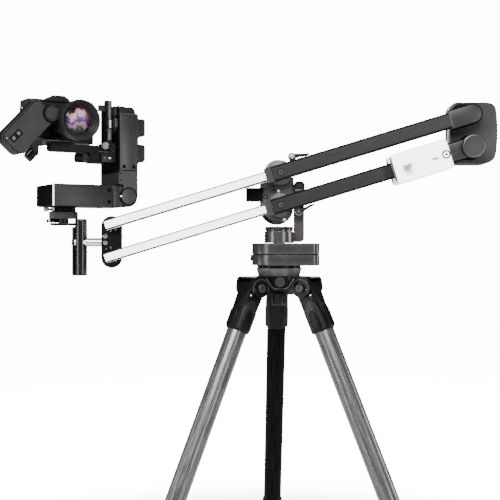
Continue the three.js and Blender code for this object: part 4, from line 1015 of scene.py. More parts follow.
def make_arm(name, place, way):
    body = f"{name}_arm"
    low, high = extent(f"{name}_arm_tube", place)
    collar_low, collar_high = extent(f"{name}_arm_collar", place)
    front = collar_low.y
    dress(f"{name}_arm_tube", ARM_BRUSHED, 0.9, 3)
    dress(f"{name}_arm_collar", COLLAR_GREY, 0.8, 3)
    detail = Form(place)
    edge = ARM_HALF - 2.9
    for side in (-1, 1):
        ends = (side * edge, side * (ARM_HALF + 0.02))
        detail.box((low.x, high.x), (front - 0.12, front + 0.3), ends, BLACK, ease=0)
    detail.box((low.x, low.x + 0.8), (front - 0.1, front + 0.3), (-edge, edge), BLACK, ease=0)
    # A flat black disc round the pivot screw: painted shade of a counterbore.
    detail.disc(6.2, (-0.2, 1), DEEP_BLACK, (0, front, 0), ease=0)
    detail.front_screw((0.5, front + 0.3, -0.5), 4.2, 2.0, DISC_GREY, socket=0.5)
    make_lip(detail, collar_low, collar_high, *extent(f"{name}_slide_tube", place))
    pin = spot(f"{name}_lever_turn", place)
    # On the upper lever the small white centre disc is a painted highlight on the hub.
    head, metal, mark = (5.0, GRIP_GREY, WHITE_MARK_AND_HIGHLIGHT) if way > 0 else (3.2, DISC_GREY, GRIP_GREY)
    for radius, proud, material in ((head, 0.5, metal), (0.22 * head, 0.7, mark)):
        detail.disc(radius, (-proud, 1), material, (pin.x, front, pin.z), ease=0.1)
    detail.piece(f"{name}_arm_trim", body, "black_metal")

    link_low, link_high = extent(f"{name}_arm_link", place)
    radius = link_high.z
    pivot = (link_high.x - radius, 0)
    start = high.x + SEAT

    def tongue(left, half):
        """The link's outline, round about its pivot."""
        return [(left, -half)] + arc(pivot, half, -90, 90, 32) + [(left, half)]

    link = Form(place)
    link.plate(tongue(start, radius), (link_low.y, link_high.y), COVER_GREY, ease=0.8, segments=3)
    # A black plate behind the link, a little larger than it: painted shadow round the link's edge.
    link.plate(tongue(start + 1, radius + 2.3), (link_low.y + 3, link_high.y), DEEP_BLACK, ease=0.3)
    seam = (link_low.y - 0.08, link_low.y + 0.4)
    link.box((start - 0.2, start + 0.6), seam, (1 - radius, radius - 1), DARK_STEEL_AND_EDGE_SHADE, ease=0)
    link.box((start - 20, start + 1), (front + 3, link_high.y - 3), (3 - ARM_HALF, ARM_HALF - 3), DARK)
    link.piece(f"{name}_arm_link_skin", body, "dark_metal", f"{name}_arm_link")


def make_lip(detail, low, high, slide_low, slide_high):
    """Four bars round the slide tube in the mouth of the collar."""
    inset, gap = 0.1, 0.35
    lip = (low.x - 3.6, low.x + 0.2)
    outer, inner = (low.y + inset, high.y - inset), (slide_low.y - gap, slide_high.y + gap)
    bottom, top = slide_low.z - gap, slide_high.z + gap
    detail.box(lip, outer, (top, high.z - inset), COLLAR_GREY)
    detail.box(lip, outer, (low.z + inset, bottom), COLLAR_GREY)
    for side, edge in zip(outer, inner):
        detail.box(lip, sorted((side, edge)), (bottom, top), COLLAR_GREY, ease=0)


def make_lever(name, place, way):
    low, high = extent(f"{name}_lock_lever", place)
    pin = spot(f"{name}_lever_turn", place)
    drop, waist = 6.2, 2.6
    middle, neck = pin.x + 0.45 * (high.x - pin.x), high.x - 8
    outline = [
        (pin.x, 5), (middle, waist - 0.35 * drop), (neck, 4 - drop), (high.x, 2.8 - drop),
        (high.x, -drop), (neck, -drop - 0.4), (middle, -waist - 0.35 * drop), (pin.x, -5),
    ]
    form = Form(place)
    form.plate([(x, pin.z + way * z) for x, z in outline], (low.y, high.y), DARK, ease=0.6, segments=3)
    hub = [(2.4, low.y), (6.6, low.y), (6.6, high.y), (2.4, high.y), (2.4, low.y)]
    cap = [(0, 3), (4.6, 3), (4.6, 0.6), (4.2, 0), (3.2, 0), (2.8, 0.6), (1.4, 0.6), (1.2, 0), (0, 0)]
    form.turned(hub, GRIP_GREY, "y", (pin.x, 0, pin.z), SMALL_STEPS)
    form.turned(cap, GRIP_GREY, "y", (pin.x, low.y - 2.4, pin.z), SMALL_STEPS, 0.1)
    form.piece(f"{name}_lock_lever_skin", f"{name}_lever", "warm_grey_metal", f"{name}_lock_lever")


def make_slide(name, place):
    low, high = extent(f"{name}_slide_tube", place)
    dress(f"{name}_slide_tube", SILVER, 0.7, 3)
    detail = Form(place)
    detail.front_screw((-258, low.y + 0.3, 1.2), 3.2, 0.6, DARK_STEEL_AND_EDGE_SHADE, socket=0.85)
    line = 2.2
    # Dark lines along the top and bottom of the front face, the lower one thicker: painted shade on the
    # rounded edges.
    for way, thick in ((-1, 1.25 * line), (1, line)):
        ends = (way * (high.z - thick), way * (high.z + 0.02))
        detail.box((low.x, high.x), (low.y - 0.03, low.y + 0.4), ends, DARK, ease=0)
    # A dark strip down the tube's left end: painted edge shade.
    side = (low.y - 0.03, low.y + 1)
    detail.box((low.x - 0.02, low.x + 0.5), side, (line - high.z, high.z - line), DARK_STEEL_AND_EDGE_SHADE, ease=0)
    detail.piece(f"{name}_slide_trim", f"{name}_slide", "bright_metal")


for arm_name, arm, above in (("upper", UPPER, 1), ("lower", LOWER, -1)):
    make_arm(arm_name, arm, above)
    make_lever(arm_name, arm, above)
    make_slide(arm_name, arm)


# Counterweights


def make_weights(node, name, count, outward):
    low, high = extent(node, LOWER)
    form = Form(LOWER)
    gap, edge = 0.35, 0.25
    thick = (high.y - low.y - gap * (count - 1)) / count
    # A dark core inside the stack, seen through the gaps between the plates: painted shade in the gaps.
    form.plate(inner_rect(low, high, 1, 5), (low.y + 1, high.y - 1), DARK_STEEL_AND_EDGE_SHADE, ease=0)
    for k in range(count):
        start = low.y + k * (thick + gap)
        form.plate(inner_rect(low, high, 0, 6), (start, start + thick), STEEL, ease=0.35)
        side = (start + edge, start + thick - edge)
        # A dark strip on each plate's left end: painted shade on the side of the stack.
        form.box((low.x - 0.05, low.x + 0.95), side, (low.z + 6, high.z - 6), DARK_STEEL_AND_EDGE_SHADE, ease=0)
    face = low.y if outward < 0 else high.y

    def proud(*heights):
        """Depths at some heights above the outward face."""
        return [face + outward * height for height in heights]

    # A dark band round the outward face: painted edge shade.
    form.plate(inner_rect(low, high, 0.5, 5.6), proud(-0.2, 0.02), DARK_STEEL_AND_EDGE_SHADE, ease=0)
    form.plate(inner_rect(low, high, 1.0, 5.4), proud(-0.2, 0.05), STEEL, ease=0)
    x, z = high.x - 7.6, -0.6
    form.disc(7.6, (0.15, -0.5), DEEP_BLACK, (x, face, z), 48, 0)
    form.screw((x, *proud(-0.4), z), (0, outward, 0), 5.2, 1.6, STEEL, socket=0.3)
    form.disc(2.2, (0.05, -0.05), DARK, (x, *proud(1.3), z), 24, 0)
    form.plate(rounded_rect((high.x - 34, high.x - 22), (-4.2, -0.4), 1.9), proud(-0.3, 0.12), BRIGHT, ease=0)
    form.piece(name, "lower_arm", "weight_steel", node)


def make_weight_knob():
    low, high = extent("weight_knob", LOWER)
    radius = (high.x - low.x) / 2
    grip = fluted(radius, 0.45, 36)
    deep = high.y - low.y
    form = Form(LOWER)
    form.turned(
        [
            (0, deep), (radius - 1, deep), (grip, deep - 1), (grip, 1.4), (radius - 1.2, 0.4),
            (radius - 2.6, 0), (4, 0), (3.4, 0.8), (0, 0.9),
        ],
        BRIGHT, "y", ((low.x + high.x) / 2, low.y, (low.z + high.z) / 2), steps=144,
    )
    form.piece("weight_knob_turned", "weight_knob", "bright_metal", "weight_knob")


make_weights("weight_plates_front", "weight_plates_front_stack", 4, -1)
make_weights("weight_plates_rear", "weight_plates_rear_stack", 3, 1)
make_weight_knob()


# Rear cover

CURVE_STEPS = 10


def cover_outline(inset=0.0):
    """The rear cover from the front, with four corners of their own and a bulged right side."""
    low, high = extent("rear_cover", REAR)
    bulge = 1.9
    left, right = low.x + inset, high.x - bulge - inset
    bottom, top = low.z + inset, high.z - inset
    top_right, low_right, top_left, low_left = 20, 28, 16, 9
    side_start, side_end = (right, bottom + low_right), (right, top - top_right)
    outline = curve((right - low_right, bottom), (right, bottom), side_start, CURVE_STEPS)
    outline += curve(side_start, (right + 2 * bulge, (top + bottom) / 2), side_end, CURVE_STEPS)[1:]
    outline += curve(side_end, (right, top), (right - top_right, top), CURVE_STEPS)[1:]
    outline += curve((left + top_left, top), (left, top), (left, top - top_left), CURVE_STEPS)
    return outline + curve((left, bottom + low_left), (left, bottom), (left + low_left, bottom), CURVE_STEPS)


def make_cover():
    low, high = extent("rear_cover", REAR)
    front = -1.0
    form = Form(REAR)
    form.plate(cover_outline(), (front, front + 30), COVER_GREY, ease=2.2, segments=4)
    form.plate(cover_outline(0.8), (front + 29, front + 33), BLACK, ease=0)
    form.plate(cover_outline(), (front + 31.5, high.y), COVER_GREY, ease=3.2, segments=5)
    # A light grey strip on the cover's left side: painted highlight.
    wall = (low.x - 0.2, low.x + 1), (front + 3, front + 27), (low.z + 14, high.z - 20)
    form.box(*wall, LIT_SIDE_GREY, ease=0.3)
    # A flat black patch at the top left of the face, above the upper link: painted shade of a recess.
    painted_shade_patch = [(-34.2, -4), (-34.2, 8), (-29, 15), (-22, 20.5), (10, 20.5), (16, 12), (0, 0)]
    form.plate(eased(painted_shade_patch, 4, 4, closed=True), (front - 0.12, front + 1), BLACK, ease=0)
    for height, shadow, bolt in ((0, 18, -20.3), (-ARM_SPACING, 23.4, low.y)):
        form.disc(shadow, (-0.3, 0.4), DEEP_BLACK, (0, front, height), STEPS, 0.1)
        form.disc(8, (bolt, 0), SCREW, (0, 0, height))
    form.piece("rear_cover_skin", "rear_cover", "dark_metal", "rear_cover")


def make_rear_knob():
    low, high = extent("rear_knob", REAR)
    radius = (high.x - low.x) / 2
    grip = fluted(radius, 0.7, 48)
    middle = (0, low.y, -ARM_SPACING)
    deep = high.y - low.y
    knob = Form(REAR)
    knob.turned(
        [
            (8.3, deep), (radius - 1.6, deep), (radius - 0.8, deep - 1), (grip, deep - 2), (grip, 3),
            (radius - 1.2, 1.6), (radius - 2.2, 0.3), (radius - 3, 0), (0.8 * radius, 0),
            (0.79 * radius, 0.5), (0.75 * radius, 0.5), (0.74 * radius, 0), (0, 0),
        ],
        KNOB_GREY, "y", middle, steps=192,
    )
    # A lighter ring inside the rim: a real metal ring, lightened as a painted highlight.
    inner, outer = radius - 3.2, radius - 2.2
    knob.turned([(inner, -0.06), (outer, 0.2), (outer, 1), (inner, 1)], DISC_GREY, "y", middle, ease=0)
    knob.piece("rear_knob_turned", "rear_knob", "dark_metal", "rear_knob")


make_cover()
make_rear_knob()


# Front plate, rod and post

ROD_HEIGHT = -33.3


def make_front():
    low, high = extent("front_plate", FRONT)
    half, face = high.x, -5
    outline = arc((0, low.z + half), half, 180, 360, 32) + arc((0, high.z - half), half, 0, 180, 32)
    form = Form(FRONT)
    form.plate(outline, (face, high.y), BLACK, ease=0.9, segments=3)
    for height in (0, -ARM_SPACING):
        form.disc(5, (-7, 0), SCREW, (0, 0, height))
    for z in (-22.3, -34):
        form.front_screw((-11, face + 0.3, z), 3.6, 1.6, SCREW)
    for x, z in ((7.3, -9.6), (-1.6, -12.6), (-1.6, -43), (-9.7, -45.3), (7.7, -67.4)):
        form.front_screw((x, face + 0.3, z), 1.6, 0.6, SCREW)
    form.piece("front_plate_skin", "front", "black_metal", "front_plate")


def make_rod():
    low, high = extent("reach_rod", FRONT)
    radius, groove, pitch = 8.1, 7.75, 2
    form = Form(FRONT)
    form.box((-18.7, high.x), (low.y, high.y), (low.z, high.z), BLACK, ease=1.2, segments=3)
    profile = [(0, low.x), (radius, low.x)]
    x = low.x + 21
    while x < -20:
        profile += [(radius, x), (groove, x + 0.2), (groove, x + 0.7), (radius, x + 0.9)]
        x += pitch
    profile += [(radius, -17), (0, -17)]
    form.turned(profile, ROD_STEEL, "x", (0, 12, ROD_HEIGHT), ease=0)
    form.piece("reach_rod_turned", "front", "bright_metal", "reach_rod")


def make_post():
    low, high = extent("post", FRONT)
    x, depth = (low.x + high.x) / 2 + 0.2, (low.y + high.y) / 2
    radius = (high.x - low.x) / 2 + 0.7
    groove, foot, top = radius - 0.5, low.z, high.z
    form = Form(FRONT)
    form.turned(
        [
            (0, foot), (radius - 1, foot), (radius, foot + 1), (radius, top - 3), (groove, top - 2.6),
            (groove, top - 2.2), (radius, top - 1.8), (radius, top - 0.8), (radius - 0.8, top), (0, top),
        ],
        GLOSS_BLACK, at_point=(x, depth, 0),
    )
    # The white screw heads stand for polished bolts: the white paints their glint.
    bolt = (x + 0.72 * radius, depth - 0.6 * radius, ROD_HEIGHT)
    form.screw(bolt, (0.77, -0.64, 0), 3.6, 2.2, WHITE_MARK_AND_HIGHLIGHT)
    form.piece("post_turned", "front", "black_metal", "post")
    low, high = extent("post_plate", FRONT)
    left = x - radius
    bar = left - 4.2
    plate = Form(FRONT)
    outline = rounded_rect((low.x, left + 3), (depth - 15, depth + 15), 3)
    plate.plate(outline, (high.z - 4.5, high.z), BLACK, "z", ease=0.7)
    plate.box((bar, left), (depth - 8, depth + 8), (low.z, high.z - 7.5), BLACK, ease=0.7)
    # White bolt head: painted glint of polished metal.
    plate.screw((bar, depth, ROD_HEIGHT), (-1, 0, 0), 4.2, 2, WHITE_MARK_AND_HIGHLIGHT)
    plate.piece("post_plate_folded", "front", "black_metal", "post_plate")


make_front()
make_rod()
make_post()


# Quick release stack


def make_disc():
    low, high = extent("tightening_disc", STACK)
    top, radius = high.z, high.x
    bottom = top - 12.9
    grip = fluted(radius, 0.6, 60)
    form = Form(STACK)
    form.turned(
        [
            (0, low.z), (9, low.z), (9, bottom - 0.2), (radius - 1.2, bottom), (radius - 0.4, bottom + 0.8),
            (grip, bottom + 1.4), (grip, top - 1.4), (radius - 0.4, top - 0.8), (radius - 1.2, top), (0, top),
        ],
        COVER_GREY, steps=240,
    )
    lever = low.z + 1.7
    handle = rounded_rect((-31.6, 2), (-5, 5), 4.8)
    form.plate(handle, (lever - 1, lever + 5.5), DEEP_BLACK, "z", ease=0.8, segments=3)
    ball = [(0, -2.4), *arc((0, 0), 2.4, -90, 90, 16)[1:-1], (0, 2.4)]
    form.turned(ball, GREY_MARK, at_point=(-25, -4.6, lever + 2.75), steps=SMALL_STEPS, ease=0)
    form.piece("tightening_disc_turned", "tightening_disc", "black_metal", "tightening_disc")


def make_release():
    dress("quick_release_clamp", BLACK, 1.0, 3)
    low, high = extent("quick_release_clamp", STACK)
    catch = Form(STACK)
    catch.box((-16.4, -13.2), (low.y - 0.6, low.y + 1), (low.z + 1.4, high.z - 1.2), GREY_MARK, ease=0.3)
    for x, wide in ((-6, 7), (6, 5)):
        catch.box((x, x + wide), (low.y - 0.4, low.y + 1), (low.z + 2.6, high.z - 3.4), COVER_GREY, ease=0.3)
    catch.piece("quick_release_catch", "front", "black_metal")
    low, high = extent("quick_release_knob", STACK)
    radius, end = (high.z - low.z) / 2, low.x + 9.5
    grip = fluted(radius, 0.3, 24)
    knob = Form(STACK)
    knob.turned(
        [
            (0, low.x), (radius - 0.8, low.x), (grip, low.x + 0.8), (grip, end - 0.8), (radius - 0.8, end),
            (2, end), (2, high.x), (0, high.x),
        ],
        GRIP_GREY, "x", (0, (low.y + high.y) / 2, (low.z + high.z) / 2), steps=96,
    )
    knob.piece("quick_release_knob_turned", "quick_release_knob", "bright_metal", "quick_release_knob")


make_disc()
make_release()


# Remote head


def make_head_box():
    low, high = extent("head_box", HEAD)
    form = Form(HEAD)
    form.box((low.x + 4, high.x), (low.y, high.y), (low.z, high.z), HEAD_BRUSHED, ease=1.4, segments=3)
    # A deep black block at the left end: painted shade on the end face, which turns away from the light.
    inner = (low.y + 0.8, high.y - 0.8), (low.z + 0.8, high.z - 0.8)
    form.box((low.x, low.x + 5), *inner, DEEP_BLACK, ease=1.6, segments=3)
    # A white strip down the front left corner: painted highlight on the rounded edge.
    line = (low.x + 1.5, low.x + 3.9), (low.y - 0.04, low.y + 1), (low.z + 0.5, high.z - 0.5)
    form.box(*line, WHITE_MARK_AND_HIGHLIGHT, ease=0.02)
    seam = (low.z + high.z) / 2 + 2
    form.box((low.x + 6, high.x - 1), (low.y - 0.05, low.y + 0.4), (seam, seam + 0.5), BLACK, ease=0)
    for z in (low.z + 9.4, high.z - 9.6):
        form.front_screw((high.x - 6, low.y + 0.2, z), 3.6, 0.6, DEEP_BLACK, socket=0.5)
    form.piece("head_box_skin", "head", "brushed_grey_metal", "head_box")


def make_hinge():
    low, high = extent("head_hinge_block", HEAD)
    fold = spot("head_fold", HEAD)
    start, shoulder, radius, inner = low.x, 92.2, 19.5, high.y - 4
    top = 2 * fold.z
    outline = [(start, 0)] + arc((fold.x, fold.z), radius, -90, 90, 28) + [(start, top)]
    form = Form(HEAD)
    form.plate(outline, (-inner, inner), HEAD_BRUSHED, ease=1.0, segments=3)
    form.box((start, shoulder), (low.y, high.y), (0, top), HEAD_BRUSHED, ease=1.4, segments=3)
    form.disc(6, (low.y + 0.5, high.y - 0.5), SCREW, (fold.x, 0, fold.z))
    form.piece("head_hinge_skin", "head", "brushed_grey_metal", "head_hinge_block")


def make_head_arm():
    low, high = extent("head_arm", HEAD)
    fold = spot("head_fold", HEAD)
    dress("head_arm", UPRIGHT_BRUSHED, 0.9)
    form = Form(HEAD)
    front, middle = low.y, (fold.x, low.y, fold.z)
    disc, ring = 14.1, 16.9
    form.turned([(0, -0.2), (disc, -0.2), (disc, 0.5)], COVER_GREY, "y", middle)
    form.turned([(disc, 0.5), (disc + 0.6, -0.3), (ring, -0.3), (ring, 0.5)], DEEP_BLACK, "y", middle)
    form.disc(1.5, (0.2, -0.3), WHITE_MARK_AND_HIGHLIGHT, (fold.x - 15.6, front - 0.3, fold.z), 24, 0)
    bottom, top = 68.6, 169.8
    x0, x1 = low.x + 1.6, 126.8
    cover = rounded_rect((x0, x1), (bottom, top), 4)
    form.plate(cover, (front - 0.5, front + 0.4), UPRIGHT_BRUSHED, ease=0.4)
    border = rounded_rect((x0 - 1, x1 + 1), (bottom - 1.6, top + 0.6), 5)
    form.plate(border, (front - 0.15, front + 0.4), DEEP_BLACK, ease=0)
    # A deep black sheet on the arm's left side: painted shade on that side face.
    form.box((low.x - 0.3, low.x + 1.4), (front - 0.2, high.y - 3), (64, high.z - 3), DEEP_BLACK, ease=0.6)
    form.box((x0 + 1, x1 - 1), (front - 0.56, front), (bottom + 9.4, bottom + 9.9), BLACK, ease=0)
    for x in (100.4, 119.9):
        form.front_screw((x, front - 0.3, 74.6), 3.4, 0.6, DEEP_BLACK, socket=0.5)
    for z in (50, 62):
        form.front_screw((low.x + 4, front + 0.1, z), 1.8, 0.5, BLACK_SCREW)
    cap = [
        (low.x - 6, 166), (low.x - 6, 184), (98, 187.6), (108, 186), (118, 186.6),
        (124, 184), (127, 176), (127.6, top + 1), (low.x + 2, top + 1),
    ]
    form.plate(eased(cap, 3, 4, closed=True), (front + 8, front + 33), BLACK_PLASTIC, ease=1.2, segments=3)
    for x, wide in ((99, 4), (119, 3)):
        form.box((x, x + wide), (front + 12, front + 17), (185, 187.2), DARK_SCREW)
    form.piece("head_arm_cover", "head_arm", "brushed_grey_metal")


def make_battery(node):
    low, high = extent(node, HEAD)
    radius = 5
    x = high.x - radius
    outline = [(low.x, low.z)] + arc((x, low.z + radius), radius, -90, 0)
    outline += arc((x, high.z - radius), radius, 0, 90) + [(low.x, high.z)]
    form = Form(HEAD)
    form.plate(outline, (low.y, high.y), BLACK_PLASTIC, ease=1.4, segments=3)
    for k in range(5):
        y = low.y + 14 + k * 10
        form.box((high.x - 0.5, high.x), (y, y + 1.2), (low.z + 7, high.z - 7), GLOSS_BLACK, ease=0.1)
    form.box((high.x - 6, high.x - 3), (low.y - 0.4, low.y + 1.4), (low.z + 6, high.z - 6), DARK, ease=0.6)
    form.piece(f"{node}_case", "head_arm", "black_plastic", node)


make_head_box()
make_hinge()
make_head_arm()
make_battery("head_battery_upper")
make_battery("head_battery_lower")


# Cradle


def make_cradle():
    dress("tilt_cradle", BLACK)
    low, high = extent("tilt_cradle", HEAD)
    tilt = spot("head_tilt", HEAD)
    left, right, front = low.x, low.x + 10.2, tilt.y - 7
    form = Form(HEAD)
    boss = [(7.8, right + 0.2), (19, right + 0.2), (20, right + 1.2), (20, 89.2), (19.4, 89.9), (7.8, 89.9)]
    form.turned(boss, BLACK_SCREW, "x", (0, tilt.y, tilt.z))
    face = (front - 0.25, front + 0.4)
    form.box((77.1, 82.5), face, (163.6, high.z - 1.2), FRAME_GREY, ease=0.2)
    form.box((78.6, 82.2), face, (146.6, 161.6), GREY_MARK, ease=0.2)
    form.box((76.2, 82.8), face, (124.2, 144.2), FRAME_GREY, ease=0.2)
    for x in (84.9, 87.6):
        form.box((x, x + 1.5), (tilt.y - 20.3, tilt.y - 15), (148, 163), DISC_GREY, ease=0.3)
    marks, start = 21, left + 0.4
    for k in range(marks):
        z = low.z + 6 + (high.z - low.z - 12) * k / (marks - 1)
        width = 2.2 if k % 5 == 0 else 1.4
        form.box((start, start + width), (front - 0.06, front + 0.2), (z, z + 0.3), DISC_GREY, ease=0)
    form.box((60, left + 1), (tilt.y - 5.6, tilt.y + 4), (177.4, 188.2), BLACK_PLASTIC, ease=0.8)
    form.piece("tilt_cradle_marks", "tilt_cradle", "bright_metal")


def make_cradle_clamp():
    dress("cradle_clamp", BLACK, 0.9, 3)
    top = extent("cradle_clamp", HEAD)[1].z
    depth = spot("head_tilt", HEAD).y
    jaw = depth - 14
    grip = fluted(6.6, 0.5, 24)
    knobs = Form(HEAD)
    knobs.turned(
        [(0, 6.4), (6.8, 6.4), (grip, 4.8), (grip, 0.8), (6, 0), (4.2, 0), (3.6, 0.6), (0, 0.7)],
        GRIP_GREY, "y", (67.2, jaw - 6, 112.2), steps=96,
    )
    knobs.box((79.6, 86.6), (jaw - 0.3, jaw + 1), (101, min(top, 122) - 0.6), DISC_GREY, ease=0.3)
    knobs.box((54, 86.6), (jaw - 0.4, jaw + 1), (100.4, 102.2), KNOB_GREY, ease=0.3)
    knobs.box((60.1, 86.6), (jaw - 0.3, jaw + 1), (82.6, 98.2), DARK, ease=0.3)
    for x, wide, tint in ((74.8, 4.2, WHITE_MARK_AND_HIGHLIGHT), (65.6, 2, GRIP_GREY)):
        knobs.box((x, x + wide), (jaw - 0.45, jaw + 1), (89.4, 91.4), tint, ease=0.2)
    middle = (0, depth, 89.3)
    collar = [(0, 15.8), (7.4, 15.8), (8, 16.6), (8, 25.4), (7.4, 26), (7.4, 27)]
    knobs.turned(collar, BLACK_SCREW, "x", middle)
    grip = fluted(8.6, 0.6, 30)
    knobs.turned([(7.4, 27), (grip, 27.6), (grip, 38.6), (7.8, 39.5), (5, 39.6)], GRIP_GREY, "x", middle, 120)
    knobs.piece("cradle_clamp_knobs", "camera", "warm_grey_metal")


def make_camera_plate():
    dress("camera_plate", BLACK)
    low, high = extent("camera_plate", HEAD)
    plate = Form(HEAD)
    line = (low.x + 2, high.x - 2), (low.y - 0.2, low.y + 1), (high.z - 2, high.z - 0.6)
    plate.box(*line, COLLAR_GREY, ease=0.2)
    plate.box((-62, low.x + 2), (low.y + 4, low.y + 12), (108, 112.4), BLACK)
    knob = [(0, 0), (3.4, 0), (4.6, 0.8), (4.6, 9), (0, 9)]
    plate.turned(knob, GRIP_GREY, "y", (-60, low.y + 2, 110.4), SMALL_STEPS)
    plate.piece("camera_plate_line", "camera", "dark_metal")


make_cradle()
make_cradle_clamp()
make_camera_plate()


# Camera and lens


def make_camera_body():
    low, high = extent("camera_body", HEAD)
    x0, x1, y0, y1 = low.x, high.x, -22, high.y
    z0, z1 = low.z, low.z + 76
    form = Form(HEAD)
    plan = rounded_rect((x0, x1), (y0, y1), 9, 10)
    form.plate(plan, (z0, z0 + 7), CAMERA_PLASTIC, "z", 1.4, 3)
    form.plate(plan, (z0 + 6.6, z1 - 13), SKIN, "z", 0)
    form.plate(plan, (z1 - 13.4, z1), CAMERA_PLASTIC, "z", 2.2, 4)
    grip = rounded_rect((x0, x0 + 27), (low.y, y0 + 9), 9, 10)
    form.plate(grip, (z0 + 3, z1 - 14), SKIN, "z", 2.5, 4)
    form.plate(grip, (z1 - 14.6, z1 - 3), CAMERA_PLASTIC, "z", 3, 4)
    left, right = -43, 3
    finder = [
        (left, z1 - 4), (right, z1 - 4), (right, z1), (right - 2.4, z1 + 4), (right - 6.6, z1 + 5),
        (right - 8.4, high.z), (left + 15, high.z), (left + 8, z1 + 3), (left, z1),
    ]
    form.plate(eased(finder, 2, 4, closed=True), (-26, 24), CAMERA_PLASTIC, ease=1.4, segments=3)
    mount = [(0, -22), (33, -22), (33, -23.4), (31.5, -24.6), (0, -24.6)]
    form.turned(mount, BLACK_SCREW, "y", LENS_POINT)
    for x, radius, tall in ((-60, 6.5, 0.9), (28, 8.5, 3.2), (42, 6, 3)):
        ridged = fluted(radius, 0.35, 36)
        form.turned(
            [(0, -1), (radius, -1), (ridged, 0), (ridged, tall - 0.8), (radius - 0.8, tall), (0, tall)],
            BLACK_SCREW, at_point=(x, 4, z1), steps=108,
        )
    form.box((-26, -8), (-4, 15), (high.z - 2.4, high.z - 0.1), BLACK_SCREW, ease=0.4)
    form.box((-52, 26), (y1 - 2, y1), (z0 + 8, z0 + 60), SCREEN)
    for x, z in ((34, z0 + 24), (44, z0 + 44)):
        form.disc(4, (-2, -0.1), BLACK_SCREW, (x, y1, z))
    eye = [(2.4, -1.2), (4, -1.2), (4, 1.2), (2.4, 1.2), (2.4, -1.2)]
    for x in (x0 + 3, x1 - 3):
        form.turned(eye, SCREW, "x", (x, -8, z1 - 8), SMALL_STEPS, 0.2)
    lug = -23
    form.box((x0 - 11, x0 + 9), (lug, lug + 7), (165, 171), BLACK_PLASTIC, ease=1.2)
    form.box((x0 - 12, x0 - 5), (lug - 1, lug + 8), (163, 176.4), BLACK_PLASTIC, ease=1.4)
    for z, tall in ((171.8, 2.2), (165, 3)):
        form.box((x0 - 11, x0 - 8.6), (lug - 1.4, lug), (z, z + tall), GREY_MARK, ease=0.3)
    form.piece("camera_body_shell", "camera", "camera_black", "camera_body")


def make_lens():
    low, high = extent("camera_lens", LENS)
    front, hood, barrel, edge = low.y, high.x, 31, 25.2
    form = Form(LENS)
    form.turned(
        [
            (0, high.y), (29.6, high.y), (29.6, -30), (30.2, -31), (barrel, -34.6), (barrel, -44),
            (barrel - 0.6, -44.4), (barrel - 0.6, -45.6), (barrel, -46), (barrel, -61.2), (28, -61.4),
            (28, -80.6), (barrel, -80.8), (barrel, front + 20), (hood - 1, front + 19.4),
            (hood, front + 18.4), (hood, front + 7.4), (hood - 0.5, front + 7), (hood - 0.5, front + 6),
            (hood, front + 5.6), (hood, front + 0.8), (hood - 0.8, front),
        ],
        CAMERA_PLASTIC, "y",
    )
    ring, deep, threads = hood - 2.4, 15.6, 12
    profile = [(hood - 0.8, 0), (ring, 0)]
    for k in range(threads):
        for step, down in ((0.3, 0.8), (1, 1)):
            profile.append((ring - (ring - edge) * (k + step) / threads, deep * (k + down) / threads))
    form.turned(profile, BLACK_PLASTIC, "y", (0, front, 0), ease=0.15)
    floor = (0, front + deep, 0)
    seat = [(edge, 0), (edge - 0.4, -1), (edge - 1.4, -1), (edge - 1.8, 0)]
    form.turned(seat, BLACK_SCREW, "y", floor, ease=0.2)
    rise, glass, rings = 4.4, edge - 1.6, 14
    dome = [(glass * k / rings, rise * ((k / rings) ** 2 - 1) - 0.1) for k in range(rings, -1, -1)]
    form.turned(dome, GLASS, "y", floor, ease=0)
    form.piece("camera_lens_barrel", "camera", "lens_black", "camera_lens")


def make_focus_ring():
    low, high = extent("focus_ring", LENS)
    start, end, radius = low.y, high.y, high.x
    bore, root = 28.4, radius - 0.6
    teeth = fluted(radius, 0.8, 84, 0.7)
    ring = Form(LENS)
    ring.turned(
        [
            (bore, start), (radius - 1, start), (root, start + 1.6), (teeth, start + 2.2), (teeth, end - 6),
            (root, end - 5.4), (root, end - 0.8), (radius - 1.2, end), (bore, end),
        ],
        RUBBER, "y", steps=336,
    )
    ring.piece("focus_ring_teeth", "focus_ring", "grip_rubber", "focus_ring")


make_camera_body()
make_lens()
make_focus_ring()


# Focus motor


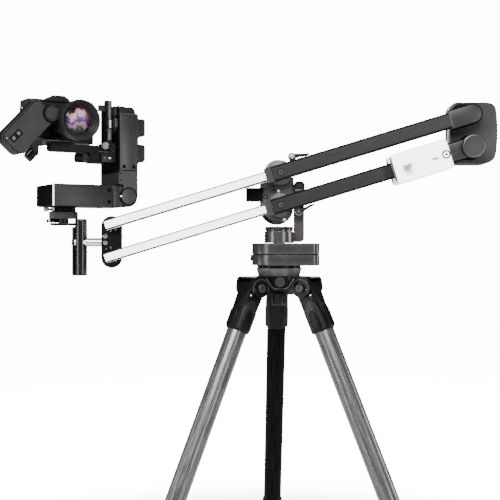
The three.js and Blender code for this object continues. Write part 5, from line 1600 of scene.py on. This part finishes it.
def make_focus_module():
    dress("focus_module", BLACK, 0.9, 3)
    front = extent("focus_module", MODULE)[0].y
    wheel = spot("focus_wheel_turn", MODULE)
    form = Form(MODULE)
    long, wide, notch = 48.5, 24.5, 17.9
    opening, border, middle, places = 3.95, 5.8, 4, (-32, -20)
    columns = [(place - opening, place + opening) for place in places]

    def face(x, z, radius, span, material):
        """One layer of the front, cut out for the wheel and the two buttons."""
        outline = notched(rounded_rect(x, z, radius, 12), (wheel.x, wheel.z), notch)
        for part in opened(outline, columns, (middle - opening, middle + opening)):
            form.plate(part, span, material, ease=0)

    face((3.6 - long, long - 1.4), (1.2 - wide, wide - 3.6), 9.4, (front - 0.6, front + 0.5), MODULE_GREY)
    face((1.4 - long, long - 0.4), (0.3 - wide, wide - 1.4), 10.4, (front - 0.2, front + 0.55), KNOB_GREY)
    face((2 - long, long - 0.8), (0.7 - wide, wide - 2), 10, (front - 0.3, front + 0.6), DEEP_BLACK)
    depth = (front - 0.75, front)
    for place in places:
        for way in (-1, 1):
            side = sorted((place + way * opening, place + way * border))
            form.box(side, depth, (middle - border, middle + border), DEEP_BLACK, ease=0.1)
            ends = (middle + way * opening, middle + way * border)
            form.box((place - opening, place + opening), depth, ends, DEEP_BLACK, ease=0.1)
    lamp = [(0, -0.8), (0.5, -0.8), (0.6, 0), (0, 0)]
    form.turned(lamp, WHITE_MARK_AND_HIGHLIGHT, "y", (-41, front, 12), 24, 0)
    for u0, u1, w in ((-33, -15, -27), (-34, -17, -33.4)):
        form.box((u0, u1), (front + 12, front + 26), (w - 2.2, w + 2.2), BLACK, ease=0.4)
        form.box((u0 + 1, u1 - 1), (front + 11.6, front + 14), (w - 0.5, w + 0.5), DISC_GREY, ease=0.15)
    form.box((-30, -19), (front + 13, front + 26), (-34, -20), BLACK, ease=0.4)
    form.piece("focus_module_face", "camera", "module_grey")


def make_wheel():
    wheel = spot("focus_wheel_turn", HEAD)
    place = HEAD @ millimetres(wheel.x, 0, wheel.z)
    low, high = extent("focus_wheel", place)
    front, deep, radius = (0, low.y, 0), high.y - low.y, high.x
    grip = fluted(radius, 0.5, 48)
    face = radius - 2.8
    form = Form(place)
    form.turned(
        [
            (3.3, deep), (radius - 1, deep), (grip, deep - 1), (grip, 2.2), (radius - 0.6, 1.4),
            (radius - 1.2, 0.8), (face + 0.5, 0.8), (face + 0.5, 1.6), (face, 1.6),
        ],
        BLACK_PLASTIC, "y", front, steps=192,
    )
    form.turned([(face, 1.6), (face, 0.5), (face - 0.5, 0), (0, 0)], MODULE_GREY, "y", front, steps=96)
    form.piece("focus_wheel_turned", "focus_wheel", "black_plastic", "focus_wheel")


def make_button(node):
    dress(node, BLACK_PLASTIC, 0.7, 3)
    low, high = extent(node, MODULE)
    cap = Form(MODULE)
    cap.plate(inner_rect(low, high, 1.1, 1.2), (low.y - 0.25, low.y + 1), FRAME_GREY, ease=0.2)
    cap.piece(f"{node}_cap", node, "module_grey")


make_focus_module()
make_wheel()
make_button("focus_button_left")
make_button("focus_button_right")
